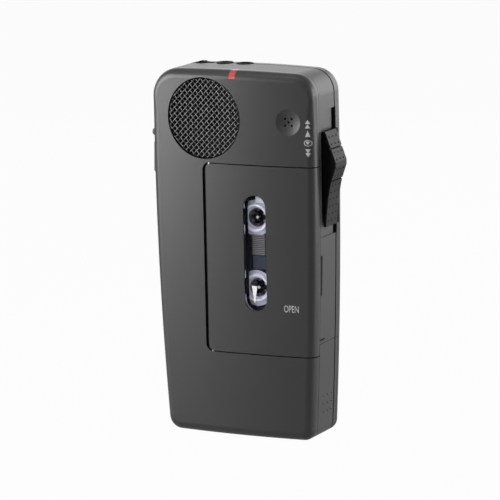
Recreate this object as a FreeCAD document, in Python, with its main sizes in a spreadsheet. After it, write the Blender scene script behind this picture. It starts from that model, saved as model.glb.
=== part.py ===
import FreeCAD, Part
import math
import os
import Sketcher

# A pocket dictation machine that records on a small two-reel cassette.
# Frame: +Z up the long axis, +X to the user's right, front face towards -Y.
# The origin is at the middle of the bottom face. All sizes are millimetres.

doc = FreeCAD.newDocument("dictation_machine")

DIMENSIONS = {
    # Moulded form: bowed sides, arched top, crowned front
    "left_half": 29.7, "right_half": 30.0, "body_height": 122.7, "body_depth": 24.0,
    "left_radius": 1200.0, "right_radius": 1700.0, "widest_level": 95.3, "top_radius": 520.0,
    "crown_radius": 226.0, "left_top_corner": 9.5, "right_top_corner": 7.5,
    "left_foot_corner": 4.6, "right_foot_corner": 3.8, "front_edge": 3.0, "rear_edge": 3.6, "wall": 1.6,
    # Splits between the mouldings
    "cover_seam": -6.1, "seam_gap": 0.14, "groove_front": 5.4, "groove_rear": 6.1, "lip_wall": 0.7,
    "lip_reach": 1.4, "fit_gap": 0.3,
    # Cassette door and its window
    "door_left": -10.25, "door_bottom": 28.3, "door_top": 91.95, "door_corner": 2.6,
    "hinge_gap": 0.65, "door_gap": 0.35, "hinge_x": -8.0, "hinge_y": -11.0, "knuckle_radius": 0.95,
    "hinge_pin_radius": 0.5, "hinge_running_gap": 0.05, "lower_pin_bottom": 25.1, "lower_pin_top": 31.5,
    "upper_pin_bottom": 87.5, "upper_pin_top": 92.75,
    "window_x": 8.5, "window_bottom": 43.1, "window_top": 81.85, "window_radius": 4.0,
    "window_recess": 0.35, "window_flange": 1.0, "window_front": -11.5, "window_back": -9.4,
    # Speaker, microphone and lamp
    "speaker_x": -9.55, "speaker_level": 106.5, "grille_radius": 13.56, "mesh_pitch": 1.414,
    "mesh_bar": 0.5, "mesh_layer": 0.35, "mesh_tilt": 2.42, "mesh_front": -11.4,
    "speaker_radius": 14.0, "speaker_front": -8.9, "speaker_back": -2.6, "speaker_rib": 0.9,
    "microphone_x": 21.0, "microphone_level": 106.45, "dimple_radius": 4.6, "dimple_sink": 0.7,
    "sound_hole": 0.38, "sound_hole_spread": 1.15, "capsule_radius": 3.0, "capsule_front": -8.4,
    "capsule_depth": 3.4, "boot_wall": 0.9,
    "lamp_x": 1.3, "lamp_width": 2.3, "lamp_bottom": 120.0, "lamp_reach": 4.0,
    # Slide switch on the right side
    "pad_front": -4.6, "pad_rear": 4.2, "pad_bottom": 71.4, "pad_top": 102.9, "pad_peak": 92.2,
    "pad_peak_x": 34.8, "pad_foot_x": 30.95, "pad_head_x": 31.15, "pad_seat_x": 30.3,
    "pad_upper_seam": 97.4, "pad_lower_seam": 86.7, "pad_seam_width": 0.5, "pad_skin": 0.8,
    "slot_front": 4.7, "slot_rear": 6.4, "slot_bottom": 67.9, "slot_top": 109.8,
    "track_front": -4.9, "track_floor": 29.2,
    "stem_front": 5.0, "stem_rear": 6.1, "stem_inner_x": 25.0,
    # Keys on the left side
    "key_bottom": 86.5, "key_top": 97.4, "key_front": -5.2, "key_rear": 1.0, "key_face_x": -31.7,
    "key_flange_x": -28.0, "key_flange": 0.8, "key_rim": 0.5,
    "button_level": 99.95, "button_y": -4.3, "button_radius": 1.3, "button_face_x": -32.2,
    # Volume wheel and sockets in the top, on the seam
    "seam_line": 5.75, "wheel_x": -18.1, "wheel_level": 118.0, "wheel_radius": 5.0,
    "wheel_front": 4.6, "wheel_rear": 6.9, "wheel_slot": 9.0, "wheel_shaft": 1.0,
    "socket_left_x": -9.9, "socket_right_x": -2.5, "socket_collar": 2.7, "socket_hole": 3.0,
    "socket_left_bore": 1.3, "socket_right_bore": 1.8, "socket_top": 122.9, "socket_bottom": 110.0, "socket_bore_depth": 11.0,
    "socket_half": 2.85,
    # Battery bay and its lid
    "bay_top": 32.4, "shelf_level": 33.0, "shelf_thickness": 0.9, "lid_inner_x": 21.5, "lid_rear": 8.0, "lid_wall": 1.2,
    "cell_radius": 7.1, "cell_length": 48.8, "cell_left": -24.3, "cell_y": -0.9,
    "cell_lower": 10.95, "cell_upper": 25.45, "cell_nub_radius": 2.7, "cell_nub": 1.0,
    "contact_thickness": 0.3, "tray_back": 6.6, "tray_wall": 1.0, "tray_rib": 1.2,
    # Tape deck
    "deck_front": 1.0, "deck_thickness": 0.8, "deck_left": -25.7, "deck_right": 26.8, "deck_bottom": 34.4, "deck_top": 91.8,
    "cassette_left": -9.0, "cassette_width": 34.0, "cassette_length": 56.0, "cassette_middle": 62.1,
    "cassette_front": -8.4, "cassette_depth": 8.0, "cassette_wall": 1.0, "cassette_corner": 1.5,
    "reel_x": 7.6, "reel_upper": 73.85, "reel_lower": 50.35, "hub_radius": 4.9, "hub_bore": 2.9,
    "hub_hole": 3.7, "hub_front": -7.1, "hub_back": -1.7, "tape_front": -6.3, "tape_back": -2.5,
    "full_pack": 10.6, "part_pack": 7.4, "spindle_post": 1.6, "spindle_fin": 2.5,
    "spindle_tip": -7.2, "turntable_radius": 5.5, "spindle_shaft": 0.75, "bush_radius": 1.6,
    "drum_radius": 7.5, "drum_front": 2.4, "drum_back": 4.0,
    "wheel_axis_x": -7.0, "wheel_axis_z": 58.5, "drive_radius": 9.19, "belt_wheel_radius": 8.0,
    "motor_x": -18.9, "motor_level": 44.0, "motor_radius": 7.6, "motor_front": -8.0,
    "pulley_radius": 1.8, "belt_front": 4.5, "belt_back": 5.5, "belt_thickness": 0.7,
    "head_x": -9.6, "head_level": 62.1, "head_height": 7.0, "head_length": 4.4,
    "carriage_left": -24.0, "carriage_right": -11.0, "carriage_bottom": 54.8, "carriage_top": 69.4,
    # Circuit board and screws
    "board_front": 9.0, "board_thickness": 1.1, "case_screw_upper_x": 24.0, "case_screw_upper_z": 112.8,
    "case_screw_lower_x": 22.0, "case_screw_lower_z": 35.9, "case_boss": 2.3, "screw_shank": 1.0,
    "screw_head": 1.9,
}

sheet = doc.addObject("Spreadsheet::Sheet", "Dims")
for row, (alias, number) in enumerate(DIMENSIONS.items(), start=1):
    sheet.set(f"A{row}", alias)
    sheet.set(f"B{row}", str(number))
    sheet.setAlias(f"B{row}", alias)
doc.recompute()


class Size:
    """A length that knows both its number and the sheet expression behind it."""

    def __init__(self, text, number):
        self.text = text
        self.number = number

    def joined(self, other, sign, number):
        return Size(f"({self.text} {sign} {size(other).text})", number)

    def __add__(self, other):
        return self.joined(other, "+", self.number + size(other).number)

    def __radd__(self, other):
        return size(other) + self

    def __sub__(self, other):
        return self.joined(other, "-", self.number - size(other).number)

    def __rsub__(self, other):
        return size(other) - self

    def __mul__(self, factor):
        return self.joined(factor, "*", self.number * size(factor).number)

    def __rmul__(self, factor):
        return self * factor

    def __truediv__(self, other):
        return self.joined(other, "/", self.number / size(other).number)

    def __neg__(self):
        return Size(f"(0 - {self.text})", -self.number)


def size(value):
    return value if isinstance(value, Size) else Size(str(float(value)), float(value))


class Sheet:
    """Gives each dimension of the sheet as a Size: D.body_width."""

    def __getattr__(self, alias):
        return Size(f"Dims.{alias}", float(getattr(sheet, alias)))


D = Sheet()
FRONT = -D.body_depth / 2
BACK = D.body_depth / 2
FAR = 200.0


def bind(thing, path, value):
    thing.setExpression(path, size(value).text)


# ---------------------------------------------------------------- solids and booleans

TURNS = {
    "x": FreeCAD.Rotation(FreeCAD.Vector(0, 1, 0), 90),
    "y": FreeCAD.Rotation(FreeCAD.Vector(1, 0, 0), -90),
    "z": FreeCAD.Rotation(),
}
PLANES = {"x": "YZ_Plane", "y": "XZ_Plane", "z": "XY_Plane"}


def place(thing, position, rotation=None):
    """Puts a thing at a position of three Sizes, turned by a fixed rotation."""
    x, y, z = (size(value) for value in position)
    base = FreeCAD.Vector(x.number, y.number, z.number)
    thing.Placement = FreeCAD.Placement(base, rotation or FreeCAD.Rotation())
    for axis, value in zip("xyz", (x, y, z)):
        bind(thing, f"Placement.Base.{axis}", value)
    return thing


def box(name, x, y, z):
    """A block between two values on each axis."""
    block = doc.addObject("Part::Box", name)
    for path, (low, high) in zip(("Length", "Width", "Height"), (x, y, z)):
        bind(block, path, size(high) - low)
    return place(block, (x[0], y[0], z[0]))


def rod(name, axis, radius, low, high, centre):
    """A cylinder along an axis from low to high; centre gives the other two coordinates."""
    cylinder = doc.addObject("Part::Cylinder", name)
    bind(cylinder, "Radius", radius)
    bind(cylinder, "Height", size(high) - low)
    along = {"x": (low, *centre), "y": (centre[0], low, centre[1]), "z": (*centre, low)}
    return place(cylinder, along[axis], TURNS[axis])


def combine(kind, name, parts):
    joined = doc.addObject(kind, name)
    joined.Shapes = parts
    return joined


def fuse(name, *parts):
    return combine("Part::MultiFuse", name, list(parts))


def cut(name, base, *tools):
    result = doc.addObject("Part::Cut", name)
    result.Base = base
    result.Tool = tools[0] if len(tools) == 1 else fuse(name + "_tools", *tools)
    return result


def common(name, base, tool):
    result = doc.addObject("Part::Common", name)
    result.Base = base
    result.Tool = tool
    return result


def collect(name, parts):
    group = doc.addObject("Part::Compound", name)
    group.Links = parts
    return group


def sketch_in(body, axis, offset):
    """A sketch square to an axis, at an offset along it."""
    role = PLANES[axis]
    plane = next(item for item in body.Origin.OriginFeatures if item.Role == role)
    sketch = body.newObject("Sketcher::SketchObject", body.Name + "_sketch")
    sketch.AttachmentSupport = [(plane, "")]
    sketch.MapMode = "FlatFace"
    # The XZ plane's normal is -Y, so its offset is counted the other way.
    shift = -size(offset) if axis == "y" else size(offset)
    sketch.AttachmentOffset = FreeCAD.Placement(FreeCAD.Vector(0, 0, shift.number), FreeCAD.Rotation())
    bind(sketch, "AttachmentOffset.Base.z", shift)
    return sketch


def fix_point(sketch, geometry, point, position, label):
    """Fixes one point of a sketch by its two coordinates."""
    for kind, value in zip(("DistanceX", "DistanceY"), position):
        value = size(value)
        number = sketch.addConstraint(Sketcher.Constraint(kind, geometry, point, value.number))
        sketch.renameConstraint(number, f"{label}{kind[-1]}")
        bind(sketch, f"Constraints.{label}{kind[-1]}", value)


def draw_polygon(sketch, points):
    corners = [FreeCAD.Vector(size(a).number, size(b).number, 0) for a, b in points]
    count = len(corners)
    for index in range(count):
        sketch.addGeometry(Part.LineSegment(corners[index], corners[(index + 1) % count]), False)
    for index, position in enumerate(points):
        sketch.addConstraint(Sketcher.Constraint("Coincident", index, 2, (index + 1) % count, 1))
        fix_point(sketch, index, 1, position, f"corner{index}")


def extrude(name, axis, points, low, high, corner=None):
    """A pad of a polygon along an axis, with its long edges rounded where a corner is given."""
    body = doc.addObject("PartDesign::Body", name)
    start = high if axis == "y" else low
    sketch = sketch_in(body, axis, start)
    draw_polygon(sketch, points)
    pad = body.newObject("PartDesign::Pad", name + "_pad")
    pad.Profile = sketch
    bind(pad, "Length", size(high) - low)
    if corner is not None:
        doc.recompute()
        round_edges(body, pad, edges_along(pad.Shape, axis), corner)
    return body


def turn(name, axis, centre, profile, shift=0.0):
    """A solid of revolution; profile gives (radius, place along the axis)."""
    body = doc.addObject("PartDesign::Body", name)
    sketch = sketch_in(body, "y", 0.0)
    draw_polygon(sketch, profile)
    spin = body.newObject("PartDesign::Revolution", name + "_spin")
    spin.Profile = sketch
    spin.ReferenceAxis = (sketch, ["V_Axis"])
    spin.Angle = 360
    along = {"x": (shift, *centre), "y": (centre[0], shift, centre[1]), "z": (*centre, shift)}
    return place(body, along[axis], TURNS[axis])


def edges_along(shape, axis):
    """Names of the straight edges of a shape that run along an axis."""
    wanted = {"x": FreeCAD.Vector(1, 0, 0), "y": FreeCAD.Vector(0, 1, 0), "z": FreeCAD.Vector(0, 0, 1)}[axis]
    names = []
    for index, edge in enumerate(shape.Edges, start=1):
        straight = isinstance(edge.Curve, Part.Line)
        if straight and abs(edge.tangentAt(edge.FirstParameter).dot(wanted)) > 0.999:
            names.append(f"Edge{index}")
    return names


def edges_of(shape, face):
    """Names of the edges of a shape that bound one of its faces."""
    return [
        f"Edge{index}"
        for index, edge in enumerate(shape.Edges, start=1)
        if any(edge.isSame(border) for border in face.Edges)
    ]


def round_edges(body, feature, names, radius):
    fillet = body.newObject("PartDesign::Fillet", f"{body.Name}_round{len(body.Group)}")
    fillet.Base = (feature, names)
    bind(fillet, "Radius", radius)
    doc.recompute()
    return fillet


# ---------------------------------------------------------------- the moulded form

def corner_centre(first, second, guess):
    """Where two circles (x, y, radius) cross, nearest to a guess."""
    (ax, ay, ar), (bx, by, br) = first, second
    gap = math.hypot(bx - ax, by - ay)
    along = (ar * ar - br * br + gap * gap) / (2 * gap)
    off = math.sqrt(ar * ar - along * along)
    ux, uy = (bx - ax) / gap, (by - ay) / gap
    choices = [(ax + ux * along - uy * off * turn_, ay + uy * along + ux * off * turn_) for turn_ in (1, -1)]
    return min(choices, key=lambda spot: math.hypot(spot[0] - guess[0], spot[1] - guess[1]))


def touch(centre, corner, radius):
    """The point where a corner circle touches the large circle around a centre."""
    reach = math.hypot(corner[0] - centre[0], corner[1] - centre[1])
    step = radius / reach
    return (corner[0] + (corner[0] - centre[0]) * step, corner[1] + (corner[1] - centre[1]) * step)


def outline_arc(centre, start, end):
    """A short arc between two points, counter-clockwise about its centre."""
    radius = math.hypot(start[0] - centre[0], start[1] - centre[1])
    angles = [math.atan2(point[1] - centre[1], point[0] - centre[0]) for point in (start, end)]
    circle = Part.Circle(FreeCAD.Vector(*centre, 0), FreeCAD.Vector(0, 0, 1), radius)
    return Part.ArcOfCircle(circle, *angles)


def front_outline(sketch, inset):
    """The outline seen from the front: a flat foot, bowed sides and an arched top, all tangent."""
    inset = size(inset)
    right_x = D.right_half - D.right_radius
    left_x = D.left_radius - D.left_half
    bows = {"right": D.right_radius - inset, "left": D.left_radius - inset}
    level = D.widest_level.number
    arch_level = D.body_height - D.top_radius
    arch = (D.top_radius - inset).number
    corners = {
        "right_foot": D.right_foot_corner - inset, "right_top": D.right_top_corner - inset,
        "left_top": D.left_top_corner - inset, "left_foot": D.left_foot_corner - inset,
    }
    centres = {"right": (right_x.number, level), "left": (left_x.number, level), "top": (0.0, arch_level.number)}
    foot = inset.number
    spots = {}
    for side, sign in (("right", 1), ("left", -1)):
        bow = bows[side].number
        radius = corners[side + "_foot"].number
        rise = foot + radius
        reach = math.sqrt((bow - radius) ** 2 - (rise - level) ** 2)
        spots[side + "_foot"] = (centres[side][0] + sign * reach, rise)
        radius = corners[side + "_top"].number
        spots[side + "_top"] = corner_centre(
            (*centres[side], bow - radius), (*centres["top"], arch - radius),
            (sign * D.right_half.number, D.body_height.number))

    def joint(side, corner):
        return touch(centres[side], spots[corner], corners[corner].number)

    below = {side: (spots[side + "_foot"][0], foot) for side in ("right", "left")}
    pieces = [
        Part.LineSegment(FreeCAD.Vector(*below["left"], 0), FreeCAD.Vector(*below["right"], 0)),
        outline_arc(spots["right_foot"], below["right"], joint("right", "right_foot")),
        outline_arc(centres["right"], joint("right", "right_foot"), joint("right", "right_top")),
        outline_arc(spots["right_top"], joint("right", "right_top"), joint("top", "right_top")),
        outline_arc(centres["top"], joint("top", "right_top"), joint("top", "left_top")),
        outline_arc(spots["left_top"], joint("top", "left_top"), joint("left", "left_top")),
        outline_arc(centres["left"], joint("left", "left_top"), joint("left", "left_foot")),
        outline_arc(spots["left_foot"], joint("left", "left_foot"), below["left"]),
    ]
    for piece in pieces:
        sketch.addGeometry(piece, False)
    for index in range(len(pieces)):
        sketch.addConstraint(Sketcher.Constraint("Tangent", index, 2, (index + 1) % len(pieces), 1))
    radii = (None, corners["right_foot"], bows["right"], corners["right_top"],
             D.top_radius - inset, corners["left_top"], bows["left"], corners["left_foot"])
    for index, radius in enumerate(radii):
        if radius is not None:
            number = sketch.addConstraint(Sketcher.Constraint("Radius", index, radius.number))
            sketch.renameConstraint(number, f"radius{index}")
            bind(sketch, f"Constraints.radius{index}", radius)
    fix_point(sketch, 2, 3, (right_x, D.widest_level), "rightcentre")
    fix_point(sketch, 6, 3, (left_x, D.widest_level), "leftcentre")
    fix_point(sketch, 4, 3, (0.0, arch_level), "topcentre")
    number = sketch.addConstraint(Sketcher.Constraint("DistanceY", 0, 1, foot))
    sketch.renameConstraint(number, "foot")
    bind(sketch, "Constraints.foot", inset)


def crown_outline(sketch, inset):
    """What is cut off the front, seen from above, to leave it crowned."""
    inset = size(inset)
    half = D.right_half.number + 5
    middle = FRONT + D.crown_radius
    radius = D.crown_radius - inset
    sag = middle.number - math.sqrt(radius.number ** 2 - half ** 2)
    ahead = FRONT.number - 5
    left, right = (-half, sag), (half, sag)
    circle = Part.Circle(FreeCAD.Vector(0, middle.number, 0), FreeCAD.Vector(0, 0, 1), radius.number)
    angles = [math.atan2(point[1] - middle.number, point[0]) for point in (left, right)]
    sketch.addGeometry(Part.ArcOfCircle(circle, angles[0] + 2 * math.pi, angles[1] + 2 * math.pi), False)
    corners = [right, (half, ahead), (-half, ahead), left]
    for start, end in zip(corners, corners[1:]):
        sketch.addGeometry(Part.LineSegment(FreeCAD.Vector(*start, 0), FreeCAD.Vector(*end, 0)), False)
    for index in range(4):
        sketch.addConstraint(Sketcher.Constraint("Coincident", index, 2, (index + 1) % 4, 1))
    number = sketch.addConstraint(Sketcher.Constraint("Radius", 0, radius.number))
    sketch.renameConstraint(number, "crown")
    bind(sketch, "Constraints.crown", radius)
    fix_point(sketch, 0, 3, (0.0, middle), "middle")
    fix_point(sketch, 1, 2, (half, ahead), "aheadright")
    fix_point(sketch, 2, 2, (-half, ahead), "aheadleft")
    sketch.addConstraint(Sketcher.Constraint("Vertical", 1))
    sketch.addConstraint(Sketcher.Constraint("Vertical", 3))


def moulded_form(name, inset, front_rounded=False):
    """The whole outside form, or the same form shrunk by an inset."""
    inset = size(inset)
    body = doc.addObject("PartDesign::Body", name)
    sketch = sketch_in(body, "y", BACK - inset)
    front_outline(sketch, inset)
    pad = body.newObject("PartDesign::Pad", name + "_pad")
    pad.Profile = sketch
    bind(pad, "Length", D.body_depth - 2 * inset)
    doc.recompute()
    crown = sketch_in(body, "z", 0.0)
    crown_outline(crown, inset)
    pocket = body.newObject("PartDesign::Pocket", name + "_crown")
    pocket.Profile = crown
    pocket.Midplane = True
    pocket.Length = 2 * FAR
    doc.recompute()
    shape = pocket.Shape
    flat = max(shape.Faces, key=lambda face: face.CenterOfMass.y)
    rear = round_edges(body, pocket, edges_of(shape, flat), D.rear_edge - inset)
    if front_rounded:
        shape = rear.Shape
        crowned = min(shape.Faces, key=lambda face: face.CenterOfMass.y)
        round_edges(body, rear, edges_of(shape, crowned), D.front_edge)
    return body


outer_form = moulded_form("outer_form", 0.0, front_rounded=True)
inner_form = moulded_form("inner_form", D.wall)
lip_outer = moulded_form("lip_outer", D.wall + 0.05)
root_outer = moulded_form("root_outer", D.wall - 0.1)
lip_inner = moulded_form("lip_inner", D.wall + D.lip_wall)
walls = cut("walls", outer_form, inner_form)
lip = cut("lip", lip_outer, lip_inner)
lip_root = cut("lip_root", root_outer, lip_inner)

SEAM_FRONT = D.cover_seam - D.seam_gap / 2
SEAM_REAR = D.cover_seam + D.seam_gap / 2


def slab(name, low, high):
    """Everything between two depths."""
    return box(name, (-FAR / 2, FAR / 2), (low, high), (-FAR / 2, FAR))


# ---------------------------------------------------------------- front cover

def door_block(name, gap_left, gap, corner, back):
    """The part of the front that belongs to the cassette door."""
    left = D.door_left + gap_left
    points = [(left, D.door_bottom + gap), (FAR / 2, D.door_bottom + gap),
              (FAR / 2, D.door_top - gap), (left, D.door_top - gap)]
    return extrude(name, "y", points, FRONT - 5, back, corner)


def sound_holes():
    spread = D.sound_hole_spread
    spots = [(0, 0), (1, 1), (1, -1), (-1, 1), (-1, -1)]
    holes = [
        rod(f"sound_hole_{index}", "y", D.sound_hole, FRONT, FRONT + 4,
            (D.microphone_x + spread * across, D.microphone_level + spread * up))
        for index, (across, up) in enumerate(spots)
    ]
    return collect("sound_holes", holes)


def microphone_dimple():
    """A shallow dish for the voice, cut by a large ball."""
    ball_radius = (D.dimple_radius * D.dimple_radius + D.dimple_sink * D.dimple_sink) / (2 * D.dimple_sink)
    sag = D.microphone_x * D.microphone_x / (2 * D.crown_radius)
    lean = (ball_radius - D.dimple_sink) * D.microphone_x / D.crown_radius
    ball = doc.addObject("Part::Sphere", "dimple_ball")
    bind(ball, "Radius", ball_radius)
    return place(ball, (D.microphone_x + lean, FRONT + sag + D.dimple_sink - ball_radius, D.microphone_level))


def lamp_block(name, gap):
    half = D.lamp_width / 2 + gap
    return box(name, (D.lamp_x - half, D.lamp_x + half), (FRONT - 1, FRONT + D.lamp_reach + gap),
               (D.lamp_bottom - gap, FAR))


def hinge_boss(name, low, high):
    return box(name, (D.hinge_x - D.knuckle_radius, D.hinge_x + D.knuckle_radius),
               (FRONT + 1.2, D.hinge_y + D.knuckle_radius + 0.3), (low, high))


HINGE_PINS = [(D.lower_pin_bottom, D.lower_pin_top), (D.upper_pin_bottom, D.upper_pin_top)]


def build_front_cover():
    skin = common("front_skin", walls, slab("front_slab", FRONT - 5, SEAM_FRONT))
    ring = cut("speaker_rib_ring",
               rod("speaker_rib_outer", "y", D.speaker_radius + D.speaker_rib + 0.15, FRONT + 2.0, SEAM_FRONT,
                   (D.speaker_x, D.speaker_level)),
               rod("speaker_rib_inner", "y", D.speaker_radius + 0.15, FRONT, SEAM_FRONT,
                   (D.speaker_x, D.speaker_level)))
    rib = common("speaker_rib_fitted", ring, inner_form)
    bosses = [
        hinge_boss("hinge_boss_upper", D.door_top, D.upper_pin_top + 0.2),
        hinge_boss("hinge_boss_lower", D.lower_pin_bottom - 0.6, D.door_bottom),
    ]
    body = fuse("front_body", skin, rib, *bosses)
    return cut("front_cover_solid", body,
               door_block("door_opening", 0.0, 0.0, D.door_corner, SEAM_FRONT + 1),
               rod("grille_hole", "y", D.grille_radius, FRONT - 1, FRONT + 4, (D.speaker_x, D.speaker_level)),
               microphone_dimple(), sound_holes(), lamp_block("lamp_slot", 0.05),
               *[rod(f"pin_hole_{index}", "z", D.hinge_pin_radius, low, high, (D.hinge_x, D.hinge_y))
                 for index, (low, high) in enumerate(HINGE_PINS)])


def build_speaker_grille():
    """Two layers of crossing bars on a ring: the fine mesh over the speaker."""
    reach = (D.grille_radius.number - 0.1)
    count = int(reach / D.mesh_pitch.number)
    layers = []
    for layer, angle in enumerate((45, -45)):
        bars = []
        low = D.mesh_layer * layer + 0.02 * layer
        for step in range(-count, count + 1):
            bar = doc.addObject("Part::Box", f"mesh_bar_{layer}_{step + count}")
            bar.Length = 2 * reach
            bind(bar, "Width", D.mesh_layer)
            bind(bar, "Height", D.mesh_bar)
            shift = FreeCAD.Vector(-reach, low.number, step * D.mesh_pitch.number - D.mesh_bar.number / 2)
            turn_ = FreeCAD.Rotation(FreeCAD.Vector(0, 1, 0), angle)
            bar.Placement = FreeCAD.Placement(FreeCAD.Vector(), turn_).multiply(
                FreeCAD.Placement(shift, FreeCAD.Rotation()))
            bars.append(bar)
        disc = rod(f"mesh_disc_{layer}", "y", D.grille_radius - 0.1, -1.0, 3.0, (0.0, 0.0))
        layers.append(common(f"mesh_layer_{layer}", collect(f"mesh_bars_{layer}", bars), disc))
    ring = cut("mesh_ring", rod("mesh_ring_outer", "y", D.grille_radius - 0.1, 0.3, 1.4, (0.0, 0.0)),
               rod("mesh_ring_inner", "y", D.grille_radius - 0.7, 0.0, 2.0, (0.0, 0.0)))
    mesh = fuse("speaker_grille_solid", ring, *layers)
    turn_ = FreeCAD.Rotation(FreeCAD.Vector(0, 0, 1), -D.mesh_tilt.number)
    return place(mesh, (D.speaker_x, D.mesh_front, D.speaker_level), turn_)


def build_record_light():
    return common("record_light_solid", outer_form, lamp_block("lamp_bar", 0.0))


# ---------------------------------------------------------------- cassette door

def stadium(name, radius, low, high):
    """An upright slot shape with round ends, between two depths."""
    ends = [D.window_bottom + D.window_radius, D.window_top - D.window_radius]
    parts = [rod(f"{name}_end_{index}", "y", radius, low, high, (D.window_x, level))
             for index, level in enumerate(ends)]
    parts.append(box(f"{name}_middle", (D.window_x - radius, D.window_x + radius), (low, high), tuple(ends)))
    return fuse(name, *parts)


def build_cassette_door():
    leaf = common("door_leaf", walls,
                  door_block("door_panel", D.hinge_gap, D.door_gap, D.door_corner + 0.2, SEAM_FRONT))
    low, high = D.door_bottom + D.door_gap, D.door_top - D.door_gap
    knuckle = rod("door_knuckle", "z", D.knuckle_radius, low + D.door_corner, high - D.door_corner,
                  (D.hinge_x, D.hinge_y))
    knuckle_inside = common("door_knuckle_fitted", knuckle,
                            slab("knuckle_slab", FRONT + 0.3, D.hinge_y + D.knuckle_radius))
    rail_x = D.cassette_left + D.cassette_width
    rails = [
        box(f"door_rail_{index}", (D.window_x - 9.0, rail_x), (FRONT + 1.0, D.cassette_front - 0.6), levels)
        for index, levels in enumerate((((low + 2.4), (low + 3.4)), ((high - 3.4), (high - 2.4))))
    ]
    fitted_rails = common("door_rails", collect("door_rail_pair", rails), inner_form)
    body = fuse("door_body", leaf, knuckle_inside, fitted_rails)
    bores = [rod(f"door_bore_{index}", "z", D.hinge_pin_radius + D.hinge_running_gap, pin_low - 0.3,
                 pin_high + 0.3, (D.hinge_x, D.hinge_y))
             for index, (pin_low, pin_high) in enumerate(HINGE_PINS)]
    chamfer = extrude("door_edge_bevel", "z",
                      [(D.door_left, FRONT - 1), (D.door_left + D.hinge_gap + 0.55, FRONT - 1),
                       (D.door_left + D.hinge_gap + 0.55, FRONT + 0.2), (D.door_left + D.hinge_gap, FRONT + 0.75),
                       (D.door_left, FRONT + 0.75)], low - 1, high + 1)
    return cut("cassette_door_solid", body, stadium("window_hole", D.window_radius, FRONT - 1, FRONT + 4),
               chamfer, *bores)


def build_door_window():
    pane = stadium("window_pane", D.window_radius - 0.08, D.window_front, D.window_back)
    flange = stadium("window_rim", D.window_radius + D.window_flange, FRONT + 2.05, D.window_back)
    return fuse("door_window_solid", pane, flange)


def build_hinge_pins():
    pins = [rod(f"hinge_pin_{index}", "z", D.hinge_pin_radius, low, high, (D.hinge_x, D.hinge_y))
            for index, (low, high) in enumerate(HINGE_PINS)]
    return collect("hinge_pins_pair", pins)


def build_cassette_spring():
    """Two bowed leaf springs on the door that press the cassette home."""
    leaves = []
    base = FRONT + 2.2
    for index, level in enumerate((37.0, 84.8)):
        points = [(1.0, base), (16.0, base), (16.0, base + 0.25), (12.5, base + 0.3), (8.5, base + 0.95),
                  (4.5, base + 0.3), (1.0, base + 0.25)]
        leaves.append(extrude(f"leaf_{index}", "z", points, level, level + 3.2))
    return collect("cassette_spring_leaves", leaves)


# ---------------------------------------------------------------- side frame

def lid_block(name, gap):
    return box(name, (D.lid_inner_x + gap, FAR / 2), (SEAM_REAR + gap / 2, D.lid_rear - gap),
               (-FAR / 2, D.bay_top - gap))


def slot_block():
    return box("switch_slot", (20.0, FAR / 2), (D.slot_front, D.slot_rear), (D.slot_bottom, D.slot_top))


def wheel_slot():
    half = D.wheel_slot / 2
    return box("wheel_slot_block", (D.wheel_x - half, D.wheel_x + half),
               (D.wheel_front - D.fit_gap, D.wheel_rear + D.fit_gap), (D.body_height - 4, FAR))


def socket_holes():
    holes = [rod(f"socket_hole_{index}", "z", D.socket_hole, D.body_height - 6, FAR, (middle, D.seam_line))
             for index, middle in enumerate((D.socket_left_x, D.socket_right_x))]
    return fuse("socket_holes", *holes)


CASE_SCREWS = [
    (-D.case_screw_upper_x, D.case_screw_upper_z), (D.case_screw_upper_x, D.case_screw_upper_z),
    (-D.case_screw_lower_x, D.case_screw_lower_z), (D.case_screw_lower_x, D.case_screw_lower_z),
]
DECK_SCREWS = [(-24.6, 83.0), (-24.6, 73.0), (25.6, 64.0), (25.6, 38.5)]


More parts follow.
